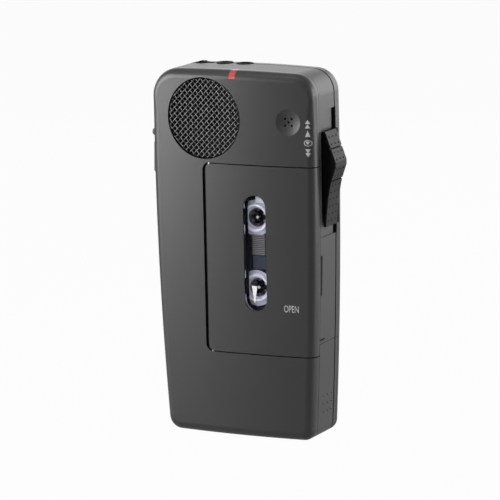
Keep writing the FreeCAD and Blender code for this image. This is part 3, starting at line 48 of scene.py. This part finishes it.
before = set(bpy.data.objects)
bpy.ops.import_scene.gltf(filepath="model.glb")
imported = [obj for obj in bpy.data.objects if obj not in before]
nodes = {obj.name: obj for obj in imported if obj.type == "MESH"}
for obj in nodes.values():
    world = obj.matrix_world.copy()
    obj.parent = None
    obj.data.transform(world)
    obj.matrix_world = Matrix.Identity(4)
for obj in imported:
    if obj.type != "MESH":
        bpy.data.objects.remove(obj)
cad_low, cad_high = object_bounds()
MM = 0.001


# ---------------------------------------------------------------- materials

def new_material(name):
    """A material with its node tree and its principled shader."""
    material = bpy.data.materials.new(name)
    material.use_nodes = True
    tree = material.node_tree
    return material, tree, tree.nodes["Principled BSDF"]


def add(tree, kind, **settings):
    node = tree.nodes.new(kind)
    for key, value in settings.items():
        setattr(node, key, value)
    return node


def object_coordinates(tree, stretch=(1, 1, 1)):
    coordinates = add(tree, "ShaderNodeTexCoord")
    mapping = add(tree, "ShaderNodeMapping")
    mapping.inputs["Scale"].default_value = stretch
    tree.links.new(coordinates.outputs["Object"], mapping.inputs["Vector"])
    return mapping.outputs["Vector"]


def noise(tree, vector, scale, detail=2.0, roughness=0.5):
    texture = add(tree, "ShaderNodeTexNoise")
    texture.inputs["Scale"].default_value = scale
    texture.inputs["Detail"].default_value = detail
    texture.inputs["Roughness"].default_value = roughness
    tree.links.new(vector, texture.inputs["Vector"])
    return texture.outputs["Fac"]


def spread(tree, value, low, high):
    """Maps noise, which keeps near its middle, to a range."""
    node = add(tree, "ShaderNodeMapRange")
    node.inputs["From Min"].default_value = 0.3
    node.inputs["From Max"].default_value = 0.7
    node.inputs["To Min"].default_value = low
    node.inputs["To Max"].default_value = high
    tree.links.new(value, node.inputs["Value"])
    return node.outputs["Result"]


def vary_colour(tree, shader, value, colour, amount):
    """Base colour that drifts a little darker and lighter than its middle."""
    mix = add(tree, "ShaderNodeMix", data_type="RGBA")
    mix.inputs["A"].default_value = (*[c * (1 - amount) for c in colour], 1)
    mix.inputs["B"].default_value = (*[min(1, c * (1 + amount)) for c in colour], 1)
    tree.links.new(value, mix.inputs["Factor"])
    tree.links.new(mix.outputs["Result"], shader.inputs["Base Color"])


def bump(tree, shader, height, strength, distance):
    node = add(tree, "ShaderNodeBump")
    node.inputs["Strength"].default_value = strength
    node.inputs["Distance"].default_value = distance
    tree.links.new(height, node.inputs["Height"])
    tree.links.new(node.outputs["Normal"], shader.inputs["Normal"])


def moulded(name, colour, roughness=0.45, specular=0.5, grain=0.16, depth=0.012, drift=0.06):
    """Moulded plastic with a spark-eroded grain; grain and depth in millimetres."""
    material, tree, shader = new_material(name)
    vector = object_coordinates(tree)
    fine = noise(tree, vector, 1 / (grain * MM), 3.0, 0.6)
    broad = noise(tree, vector, 1 / (18 * MM), 2.0)
    vary_colour(tree, shader, spread(tree, broad, 0, 1), colour, drift)
    sheen = spread(tree, fine, roughness - 0.05, roughness + 0.05)
    tree.links.new(sheen, shader.inputs["Roughness"])
    shader.inputs["Specular IOR Level"].default_value = specular
    bump(tree, shader, fine, 1.0, depth * MM)
    return material


def metal(name, colour, roughness=0.3, stretch=(1, 1, 12)):
    """Metal with fine drawn lines."""
    material, tree, shader = new_material(name)
    lines = noise(tree, object_coordinates(tree, stretch), 1 / (0.6 * MM), 3.0, 0.6)
    vary_colour(tree, shader, spread(tree, lines, 0, 1), colour, 0.08)
    sheen = spread(tree, lines, roughness - 0.07, roughness + 0.07)
    tree.links.new(sheen, shader.inputs["Roughness"])
    shader.inputs["Metallic"].default_value = 1.0
    bump(tree, shader, lines, 0.4, 0.01 * MM)
    return material


def clear_plastic(name, tint):
    """Thin clear plastic with very little glare, so that what lies behind it is seen."""
    material, tree, shader = new_material(name)
    haze = noise(tree, object_coordinates(tree), 1 / (2.5 * MM), 2.0)
    tree.links.new(spread(tree, haze, 0.0, 0.02), shader.inputs["Roughness"])
    shader.inputs["Base Color"].default_value = (*tint, 1)
    shader.inputs["Transmission Weight"].default_value = 1.0
    shader.inputs["Specular IOR Level"].default_value = 0.12
    shader.inputs["IOR"].default_value = 1.14
    return material


def wound_tape(name, colour):
    """The edge of a tape pack: a fine mottle of colour and roughness."""
    material, tree, shader = new_material(name)
    vector = object_coordinates(tree)
    fine = noise(tree, vector, 1 / (0.3 * MM), 3.0)
    vary_colour(tree, shader, spread(tree, fine, 0, 1), colour, 0.3)
    tree.links.new(spread(tree, fine, 0.28, 0.42), shader.inputs["Roughness"])
    bump(tree, shader, fine, 0.3, 0.01 * MM)
    return material


CHARCOAL = (0.017, 0.017, 0.018)
finish = {
    "case": moulded("case_plastic", CHARCOAL, 0.38, 0.50, grain=0.22, depth=0.006),
    "frame": moulded("frame_plastic", (0.028, 0.028, 0.029), 0.42, 0.45, grain=0.22, depth=0.006),
    "switch": moulded("switch_black", (0.003, 0.003, 0.0035), 0.6, 0.05, grain=0.2, depth=0.004),
    "pads": moulded("pad_grey", (0.016, 0.016, 0.017), 0.5, 0.14, grain=0.28, depth=0.012),
    "keys": moulded("key_grey", (0.06, 0.06, 0.063), 0.45, 0.4),
    "mesh": metal("mesh_wire", (0.125, 0.125, 0.122), 0.24, (1, 1, 1)),
    "lamp": moulded("lamp_red", (0.46, 0.055, 0.055), 0.25, 0.5, grain=0.8, depth=0.004),
    "print": moulded("white_print", (0.42, 0.43, 0.43), 0.55, 0.3, grain=0.25, depth=0.004,
                     drift=0.12),
    "pointer": moulded("pointer_white", (0.72, 0.72, 0.74), 0.4, 0.4, grain=0.5, depth=0.003),
    # A pale colour for the pane's rounded edge: a painted highlight.
    "pane_edge_highlight": moulded("pane_edge_highlight", (0.30, 0.31, 0.35), 0.25, 0.5, grain=0.4, depth=0.002),
    "window": clear_plastic("window_clear", (0.93, 0.94, 0.98)),
    "cassette": moulded("cassette_grey", (0.36, 0.35, 0.42), 0.35, 0.5, grain=0.3, depth=0.006),
    # A lighter copy of the cassette grey: painted light, for where the shell is lit.
    "shell_lit_copy": moulded("shell_lit_copy", (0.66, 0.65, 0.72), 0.35, 0.5, grain=0.3, depth=0.006),
    "scale": moulded("scale_brown", (0.060, 0.056, 0.056), 0.5, 0.1, grain=0.4, depth=0.003),
    "scale_line": moulded("scale_line", (0.20, 0.19, 0.19), 0.5, 0.1, grain=0.4, depth=0.003),
    # A navy colour for the dark inside seen through the cassette's window: painted shade.
    "navy": moulded("inner_navy", (0.034, 0.040, 0.056), 0.5, 0.1, grain=0.4, depth=0.003),
    "cassette_dark": moulded("cassette_smoke", (0.004, 0.004, 0.009), 0.5, 0.06, grain=0.4,
                             depth=0.003),
    "hub": moulded("hub_smoke", (0.13, 0.12, 0.155), 0.4, 0.25, grain=0.6, depth=0.002),
    "spindle": moulded("spindle_acetal", (0.004, 0.004, 0.005), 0.5, 0.08, grain=0.4, depth=0.003),
    "tip": metal("spindle_tip", (0.75, 0.75, 0.74), 0.25),
    "tape": wound_tape("tape_oxide", (0.045, 0.025, 0.018)),
    "rubber": moulded("rubber_black", (0.015, 0.015, 0.015), 0.7, 0.3, grain=0.35, depth=0.015),
    "tray": moulded("tray_black", (0.02, 0.02, 0.021), 0.5, 0.4),
    "board": moulded("solder_mask", (0.02, 0.10, 0.035), 0.3, 0.5, grain=0.6, depth=0.01,
                     drift=0.2),
    "cone": moulded("cone_paper", (0.012, 0.012, 0.012), 0.85, 0.1, grain=0.5, depth=0.03),
    "jacket": moulded("cell_jacket", (0.05, 0.07, 0.16), 0.25, 0.5, grain=1.5, depth=0.003),
    "steel": metal("bright_steel", (0.55, 0.55, 0.56), 0.28),
    "zinc": metal("zinc_plate", (0.50, 0.50, 0.47), 0.38),
    "spring": metal("spring_steel", (0.52, 0.52, 0.54), 0.3, (12, 1, 1)),
    "brass": metal("turned_brass", (0.62, 0.45, 0.18), 0.3),
    "nickel": metal("nickel_strip", (0.62, 0.60, 0.54), 0.22),
}

DRESS = {
    "case": ["front_cover", "rear_cover", "cassette_door"],
    "frame": ["side_frame", "battery_door"],
    "switch": ["slide_switch", "volume_wheel", "microphone_socket", "earphone_socket"],
    "pads": ["switch_pads"],
    "keys": ["record_key", "index_button"],
    "mesh": ["speaker_grille"],
    "lamp": ["record_light"],
    "window": ["door_window"],
    "cassette": ["cassette_shell"],
    "hub": ["supply_reel", "take_up_reel", "guide_rollers"],
    "spindle": ["supply_spindle", "take_up_spindle"],
    "tape": ["supply_tape", "take_up_tape", "tape_run"],
    "rubber": ["drive_wheel", "drive_belt", "microphone_boot"],
    "tray": ["battery_tray", "function_switch", "volume_control"],
    "board": ["circuit_board"],
    "cone": ["speaker"],
    "jacket": ["battery_cell_lower", "battery_cell_upper"],
    "steel": ["door_hinge_pins", "case_screws", "deck_screws", "carriage_studs", "motor",
              "tape_head", "microphone"],
    "zinc": ["chassis_plate", "head_carriage"],
    "spring": ["cassette_spring"],
    "brass": ["spindle_bushes", "motor_pulley"],
    "nickel": ["battery_contacts", "lid_contact"],
}
for look, members in DRESS.items():
    for member in members:
        mesh = nodes[member].data
        mesh.materials.clear()
        mesh.materials.append(finish[look])


# ---------------------------------------------------------------- helpers for pieces

OUTSIDE = 0.05
INTO_FRONT = Vector((0, 1, 0))
INTO_RIGHT = Vector((-1, 0, 0))


def surface_of(node):
    return BVHTree.FromObject(nodes[node], bpy.context.evaluated_depsgraph_get())


def piece(name, mesh, look, body):
    thing = bpy.data.objects.new(name, mesh)
    bpy.context.scene.collection.objects.link(thing)
    mesh.materials.clear()
    mesh.materials.append(finish[look])
    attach(thing, body)
    return thing


def mesh_from(name, build):
    """A mesh filled by a function that is given an empty bmesh."""
    work = bmesh.new()
    build(work)
    bmesh.ops.recalc_face_normals(work, faces=work.faces)
    mesh = bpy.data.meshes.new(name)
    work.to_mesh(mesh)
    work.free()
    return mesh


def drop_onto(work, tree, towards, lift):
    """Moves every vertex along a direction on to a surface, and lifts it a little off it."""
    for vertex in work.verts:
        start = vertex.co - towards * OUTSIDE
        hit, _, _, _ = tree.ray_cast(start, towards)
        if hit is not None:
            vertex.co = hit - towards * lift


def flat_shape(work, outline):
    """A face in the XZ plane from (x, z) points in millimetres."""
    vertices = [work.verts.new((x * MM, 0, z * MM)) for x, z in outline]
    return work.faces.new(vertices)


def join_loops(work, loops):
    """Faces between each closed loop of vertices and the next."""
    for near, far in zip(loops, loops[1:]):
        for k in range(len(near)):
            nxt = (k + 1) % len(near)
            work.faces.new((near[k], near[nxt], far[nxt], far[k]))


def smooth(mesh):
    for polygon in mesh.polygons:
        polygon.use_smooth = True


def ring_strip(work, centre, radii, thickness, steps=36):
    """A thin elliptical ring in the XZ plane."""
    angles = [2 * math.pi * k / steps for k in range(steps)]
    join_loops(work, [
        [work.verts.new(((centre[0] + (radii[0] + grow) * math.cos(angle)) * MM, 0,
                         (centre[1] + (radii[1] + grow) * math.sin(angle)) * MM))
         for angle in angles]
        for grow in (0, -thickness)
    ])


def dome(work, centre, normal, radius, height, steps=10, rows=3):
    """A low round pimple standing on a surface."""
    turn = Vector((0, 0, 1)).rotation_difference(normal).to_matrix()
    rings = []
    for row in range(rows):
        angle = math.pi / 2 * row / rows
        reach, rise = radius * math.cos(angle), height * math.sin(angle)
        offsets = [Vector((reach * math.cos(2 * math.pi * k / steps),
                           reach * math.sin(2 * math.pi * k / steps), rise)) for k in range(steps)]
        rings.append([work.verts.new(centre + turn @ offset) for offset in offsets])
    top = work.verts.new(centre + turn @ Vector((0, 0, height)))
    join_loops(work, rings)
    for k in range(steps):
        work.faces.new((rings[-1][k], rings[-1][(k + 1) % steps], top))


# ---------------------------------------------------------------- printed signs

SIGN_X = 27.75
WORD_X, WORD_LEVEL = 21.1, 44.45


def triangle(work, middle, up, width=1.75, height=1.35):
    half = width / 2
    tip = height / 2 if up else -height / 2
    flat_shape(work, [(SIGN_X - half, middle - tip), (SIGN_X + half, middle - tip),
                      (SIGN_X, middle + tip)])


def transport_signs(work):
    """Fast forward, play, a ringed stop sign and rewind, one above the other."""
    triangle(work, 105.45, True)
    triangle(work, 106.9, True)
    triangle(work, 103.1, True, 1.7, 2.2)
    ring_strip(work, (SIGN_X, 99.95), (1.3, 1.05), 0.2)
    triangle(work, 99.9, False, 1.45, 1.1)
    triangle(work, 97.3, False)
    triangle(work, 96.05, False)
    bmesh.ops.triangulate(work, faces=work.faces)
    bmesh.ops.subdivide_edges(work, edges=work.edges, cuts=2, use_grid_fill=True)
    drop_onto(work, surface_of("front_cover"), INTO_FRONT, 0.04 * MM)


signs = mesh_from("transport_signs", transport_signs)
piece("transport_signs", signs, "print", "housing")


def door_word():
    """The word by the door's finger notch, laid on the door."""
    curve = bpy.data.curves.new("open_word", "FONT")
    curve.body = "OPEN"
    curve.align_x, curve.align_y = "CENTER", "CENTER"
    curve.size = 2.95 * MM
    curve.space_character = 0.98
    text = bpy.data.objects.new("open_word_source", curve)
    bpy.context.scene.collection.objects.link(text)
    text.matrix_world = (Matrix.Translation((WORD_X * MM, 0, WORD_LEVEL * MM))
                         @ Matrix.Rotation(math.pi / 2, 4, "X")
                         @ Matrix.Diagonal((0.70, 1.1, 1, 1)))
    bpy.context.view_layer.update()
    evaluated = text.evaluated_get(bpy.context.evaluated_depsgraph_get())
    mesh = bpy.data.meshes.new_from_object(evaluated)
    mesh.transform(text.matrix_world)
    bpy.data.objects.remove(text)
    work = bmesh.new()
    work.from_mesh(mesh)
    drop_onto(work, surface_of("cassette_door"), INTO_FRONT, 0.02 * MM)
    work.to_mesh(mesh)
    work.free()
    return mesh


piece("open_word", door_word(), "print", "door")


# ---------------------------------------------------------------- speaker mesh

def woven_mesh(work):
    """Two crossing sets of round wires that pass over and under each other."""
    low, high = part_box("speaker_grille")
    rim = 0.25 * MM
    radius = (high.z - low.z) / 2 - rim
    pitch, wire, wave = 1.414 * MM, 0.13 * MM, 0.11 * MM
    sides, per_pitch = 6, 4
    count = int(radius / pitch)
    for family in (0, 1):
        for line in range(-count, count + 1):
            offset = line * pitch
            reach = math.sqrt(radius ** 2 - offset ** 2)
            steps = max(2, int(2 * reach / pitch * per_pitch))
            rings = []
            for step in range(steps + 1):
                along = -reach + 2 * reach * step / steps
                phase = math.pi * (along / pitch + line + family)
                height = wave * math.cos(phase)
                ring = []
                for side in range(sides):
                    angle = 2 * math.pi * side / sides
                    across = offset + wire * math.cos(angle)
                    y = height + wire * math.sin(angle)
                    u, v = (along, across) if family == 0 else (across, along)
                    ring.append(work.verts.new(((u + v) / math.sqrt(2), y, (u - v) / math.sqrt(2))))
                rings.append(ring)
            join_loops(work, rings)
            work.faces.new(rings[0])
            work.faces.new(reversed(rings[-1]))


def build_speaker_mesh():
    low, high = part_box("speaker_grille")
    mesh = mesh_from("speaker_weave", woven_mesh)
    smooth(mesh)
    front_low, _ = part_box("front_cover")
    centre_x = (low.x + high.x) / 2
    crown, depth = 226 * MM, 0.62 * MM
    tilt = math.asin(centre_x / crown)
    surface = front_low.y + crown - math.sqrt(crown ** 2 - centre_x ** 2)
    mesh.transform(Matrix.Translation((centre_x, surface + depth, (low.z + high.z) / 2))
                   @ Matrix.Rotation(tilt, 4, "Z"))
    weave = piece("speaker_weave", mesh, "mesh", "housing")
    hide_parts("speaker_grille")


build_speaker_mesh()


# ---------------------------------------------------------------- grip pimples

def side_pimple(work, tree, y, z, radius, height, sunk=0.02):
    """A pimple on whatever faces +X at a depth and level in millimetres."""
    hit, normal, _, _ = tree.ray_cast(Vector((OUTSIDE, y * MM, z * MM)), INTO_RIGHT)
    if hit is not None:
        dome(work, hit - normal * sunk * MM, normal, radius * MM, height * MM)


def pad_pimples(work):
    tree = surface_of("switch_pads")
    levels = [73.2, 75.6, 78.0, 80.4, 82.8, 85.1, 88.3, 90.4, 93.8, 96.0, 98.7, 101.0]
    for level in levels:
        for depth in (-2.6, 0.0, 2.6):
            side_pimple(work, tree, depth, level, 0.36, 0.24)


def lid_pimples(work):
    tree = surface_of("battery_door")
    for level in (14.05, 11.3, 8.6):
        for depth in (-1.8, 1.1, 4.0):
            side_pimple(work, tree, depth, level, 0.38, 0.26)


piece("pad_pimples", mesh_from("pad_pimples", pad_pimples), "pads", "slide")
piece("lid_pimples", mesh_from("lid_pimples", lid_pimples), "frame", "battery_lid")


# ---------------------------------------------------------------- cassette details

shell_low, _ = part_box("cassette_shell")


def hub_collars(work):
    """The raised collar round each hub hole of the cassette."""
    # Radius, and depth behind the face of the shell.
    profile = [(3.15, 0.95), (3.2, 0.8), (3.7, 0.2), (3.75, -0.35), (3.95, -0.6), (4.4, -0.65),
               (4.75, -0.4), (4.9, 0.05)]
    steps = 48
    for reel in ("supply_reel", "take_up_reel"):
        low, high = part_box(reel)
        centre = ((low.x + high.x) / 2, (low.z + high.z) / 2)
        rings = [[work.verts.new((centre[0] + r * MM * math.cos(2 * math.pi * k / steps),
                                  shell_low.y + y * MM,
                                  centre[1] + r * MM * math.sin(2 * math.pi * k / steps)))
                  for k in range(steps)] for r, y in profile]
        join_loops(work, rings)


collars = mesh_from("hub_collars", hub_collars)
smooth(collars)
# The collars take the lighter copy of the shell's grey, painted light.
piece("hub_collars", collars, "shell_lit_copy", "housing")


def label_dark(work):
    """The dark part of the label, with a light disc left open about each reel."""
    spindles = [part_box(name) for name in ("supply_spindle", "take_up_spindle")]
    upper, lower = [(low + high) / 2 / MM for low, high in spindles]
    if upper.z < lower.z:
        upper, lower = lower, upper
    reach, y = 6.0, shell_low.y - 0.12 * MM
    left, right, top, below = 1.0, 16.6, 84.0, 7.0
    steps = 240

    def half(z):
        """Half the width of the light disc about the nearer reel."""
        away = min(abs(z - upper.z), abs(z - lower.z))
        return math.sqrt(max(reach ** 2 - away ** 2, 0.0))

    def left_part(z):
        return left, upper.x - half(z)

    def right_part(z):
        return upper.x + half(z), right

    bottom = lower.z - below
    for ends in (left_part, right_part):
        rows = [[work.verts.new((x * MM, y, z * MM)) for x in ends(z)]
                for z in (bottom + (top - bottom) * step / steps for step in range(steps + 1))]
        for near, far in zip(rows, rows[1:]):
            work.faces.new((near[0], near[1], far[1], far[0]))


dark = mesh_from("tape_window", label_dark)
piece("tape_window", dark, "cassette_dark", "housing")


def bars(work, left, right, levels, tall, proud):
    """Flat bars on the cassette's face, in millimetres."""
    for level in levels:
        corners = [(left, level), (right, level), (right, level + tall), (left, level + tall)]
        for vertex in flat_shape(work, corners).verts:
            vertex.co.y = shell_low.y - proud * MM


def face_print(name, look, *bar):
    """Bars in one look; left, right, levels, height and rise above the face follow the look."""
    piece(name, mesh_from(name, lambda work: bars(work, *bar)), look, "housing")


scale_levels = [61.7 + 0.62 * step for step in range(11)]
face_print("tape_scale", "scale", 6.1, 10.9, [61.3], 7.0, 0.14)
face_print("tape_scale_lines", "scale_line", 6.4, 10.7, scale_levels, 0.2, 0.16)
# The navy bar is painted shade: the dark inside seen through the cassette's own window.
face_print("tape_shade", "navy", 6.4, 14.6, [56.7], 4.4, 0.13)
# The strip at the top of the window takes the lighter copy of the shell's grey, painted light where
# the shell is lit.
face_print("label_edge", "shell_lit_copy", 7.6, 16.6, [79.0], 5.0, 0.15)


def spindle_tip(body):
    """The bright rounded end of a spindle."""
    name = body + "_spindle"
    low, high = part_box(name)
    foot = Vector(((low.x + high.x) / 2, low.y + 0.05 * MM, (low.z + high.z) / 2))
    radius, height = 0.62 * MM, 0.45 * MM
    mesh = mesh_from(name + "_tip",
                     lambda work: dome(work, foot, -INTO_FRONT, radius, height, 16, 4))
    piece(name + "_tip", mesh, "tip", body)


for body in ("supply", "take_up"):
    spindle_tip(body)


def pointer(work):
    """The white wedge behind the window that points at the tape."""
    low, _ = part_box("door_window")
    flat_shape(work, [(7.0, 51.55), (9.0, 51.55), (8.15, 45.85), (7.85, 45.85)])
    for vertex in work.verts:
        vertex.co.y = low.y - 0.03 * MM


piece("pointer", mesh_from("pointer", pointer), "pointer", "door")


def window_border(work):
    """The dark printed border on the back of the window pane."""
    low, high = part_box("door_window")
    outer = (high.x - low.x) / 2
    middle = (low.x + high.x) / 2
    gap, width, steps = 0.1 * MM, 1.65 * MM, 16
    loops = []
    for reach in (outer - gap, outer - width):
        loop = []
        for centre, start in ((high.z - outer, 0), (low.z + outer, 180)):
            for step in range(steps + 1):
                angle = math.radians(start + 180 * step / steps)
                loop.append(work.verts.new((middle + reach * math.cos(angle), high.y + 0.03 * MM,
                                            centre + reach * math.sin(angle))))
        loops.append(loop)
    join_loops(work, loops)


border = mesh_from("window_border", window_border)
piece("window_border", border, "cassette_dark", "door")

# The pane's edges are rounded; their faces take a pale colour, a painted highlight along the edge.
nodes["door_window"].data.materials.append(finish["pane_edge_highlight"])
edge = nodes["door_window"].modifiers.new("rounded_edge", "BEVEL")
edge.width, edge.segments, edge.limit_method = 0.24 * MM, 3, "ANGLE"
edge.material = 1


# ---------------------------------------------------------------- floor, light and camera

def seen_directly(tree, shares):
    """How white the surroundings look to each kind of ray; light that spreads gets none."""
    path = add(tree, "ShaderNodeLightPath")
    total = None
    for ray, share in shares.items():
        part = add(tree, "ShaderNodeMath", operation="MULTIPLY")
        part.inputs[1].default_value = share
        tree.links.new(path.outputs[ray], part.inputs[0])
        if total is None:
            total = part.outputs[0]
            continue
        larger = add(tree, "ShaderNodeMath", operation="MAXIMUM")
        tree.links.new(total, larger.inputs[0])
        tree.links.new(part.outputs[0], larger.inputs[1])
        total = larger.outputs[0]
    return total


def build_floor():
    """A white floor, below the lowest place that the battery door slides to."""
    level, size = -38 * MM, 2.5
    work = bmesh.new()
    bmesh.ops.create_grid(work, x_segments=1, y_segments=1, size=size)
    mesh = bpy.data.meshes.new("floor")
    work.to_mesh(mesh)
    work.free()
    floor = bpy.data.objects.new("floor", mesh)
    bpy.context.scene.collection.objects.link(floor)
    floor.location.z = level
    material, tree, shader = new_material("floor_white")
    shader.inputs["Base Color"].default_value = (0.40, 0.40, 0.40, 1)
    shader.inputs["Roughness"].default_value = 0.9
    glow = add(tree, "ShaderNodeEmission")
    mix = add(tree, "ShaderNodeMixShader")
    shares = {"Is Camera Ray": 0.96, "Is Glossy Ray": 0.12, "Is Transmission Ray": 0.9}
    tree.links.new(seen_directly(tree, shares), mix.inputs[0])
    tree.links.new(shader.outputs[0], mix.inputs[1])
    tree.links.new(glow.outputs[0], mix.inputs[2])
    tree.links.new(mix.outputs[0], tree.nodes["Material Output"].inputs["Surface"])
    mesh.materials.append(material)


def build_world(strength):
    """Soft white light from all round, behind a white backdrop."""
    world = bpy.data.worlds.new("studio")
    bpy.context.scene.world = world
    world.use_nodes = True
    tree = world.node_tree
    soft = tree.nodes["Background"]
    soft.inputs["Color"].default_value = (1, 1, 1, 1)
    soft.inputs["Strength"].default_value = strength
    white = add(tree, "ShaderNodeBackground")
    white.inputs["Strength"].default_value = 1.0
    white.inputs["Color"].default_value = (1, 1, 1, 1)
    mix = add(tree, "ShaderNodeMixShader")
    shares = {"Is Camera Ray": 1.0, "Is Glossy Ray": 0.6, "Is Transmission Ray": 1.0}
    tree.links.new(seen_directly(tree, shares), mix.inputs[0])
    tree.links.new(soft.outputs[0], mix.inputs[1])
    tree.links.new(white.outputs[0], mix.inputs[2])
    tree.links.new(mix.outputs[0], tree.nodes["World Output"].inputs["Surface"])


def softbox(name, azimuth, elevation, distance, width, height, brightness):
    """An area lamp aimed at the middle of the machine, placed in degrees and metres."""
    lamp = bpy.data.lights.new(name, "AREA")
    lamp.shape = "RECTANGLE"
    lamp.size, lamp.size_y = width, height
    lamp.energy = brightness * math.pi * width * height
    thing = bpy.data.objects.new(name, lamp)
    bpy.context.scene.collection.objects.link(thing)
    a, e = math.radians(azimuth), math.radians(elevation)
    away = Vector((math.sin(a) * math.cos(e), -math.cos(a) * math.cos(e), math.sin(e)))
    middle = Vector((0, 0, (cad_low.z + cad_high.z) / 2))
    thing.location = middle + away * distance
    thing.rotation_euler = away.to_track_quat("Z", "Y").to_euler()


def build_camera():
    """The viewing angle: from the front right, a little above, nearly level."""
    distance, aim = 1.1309, Vector((0.73, 0.16, 60.99)) * MM
    azimuth, elevation, roll = (math.radians(v) for v in (26.661, 10.868, 1.184))
    back = Vector((math.sin(azimuth) * math.cos(elevation),
                   -math.cos(azimuth) * math.cos(elevation), math.sin(elevation)))
    level = Vector((math.cos(azimuth), math.sin(azimuth), 0))
    upright = back.cross(level)
    right = level * math.cos(roll) - upright * math.sin(roll)
    up = upright * math.cos(roll) + level * math.sin(roll)
    camera = bpy.data.cameras.new("camera")
    camera.lens = 244.85
    camera.sensor_width = 36
    camera.clip_start, camera.clip_end = 0.05, 20
    thing = bpy.data.objects.new("camera", camera)
    bpy.context.scene.collection.objects.link(thing)
    turn = Matrix((right, up, back)).transposed().to_4x4()
    thing.matrix_world = Matrix.Translation(aim + back * distance) @ turn
    bpy.context.scene.camera = thing


build_floor()
build_world(0.2)
softbox("left_key", -52, 13, 0.45, 0.34, 0.30, 9.0)
softbox("top_fill", -20, 68, 0.8, 0.6, 0.5, 1.0)
softbox("right_strip", 104, 13, 0.6, 0.36, 0.40, 7.0)
softbox("right_back", 152, 14, 0.6, 0.45, 0.4, 2.8)
softbox("back_wall", 205, 16, 0.9, 1.0, 0.5, 1.15)
build_camera()
bpy.context.scene.view_settings.view_transform = "Standard"
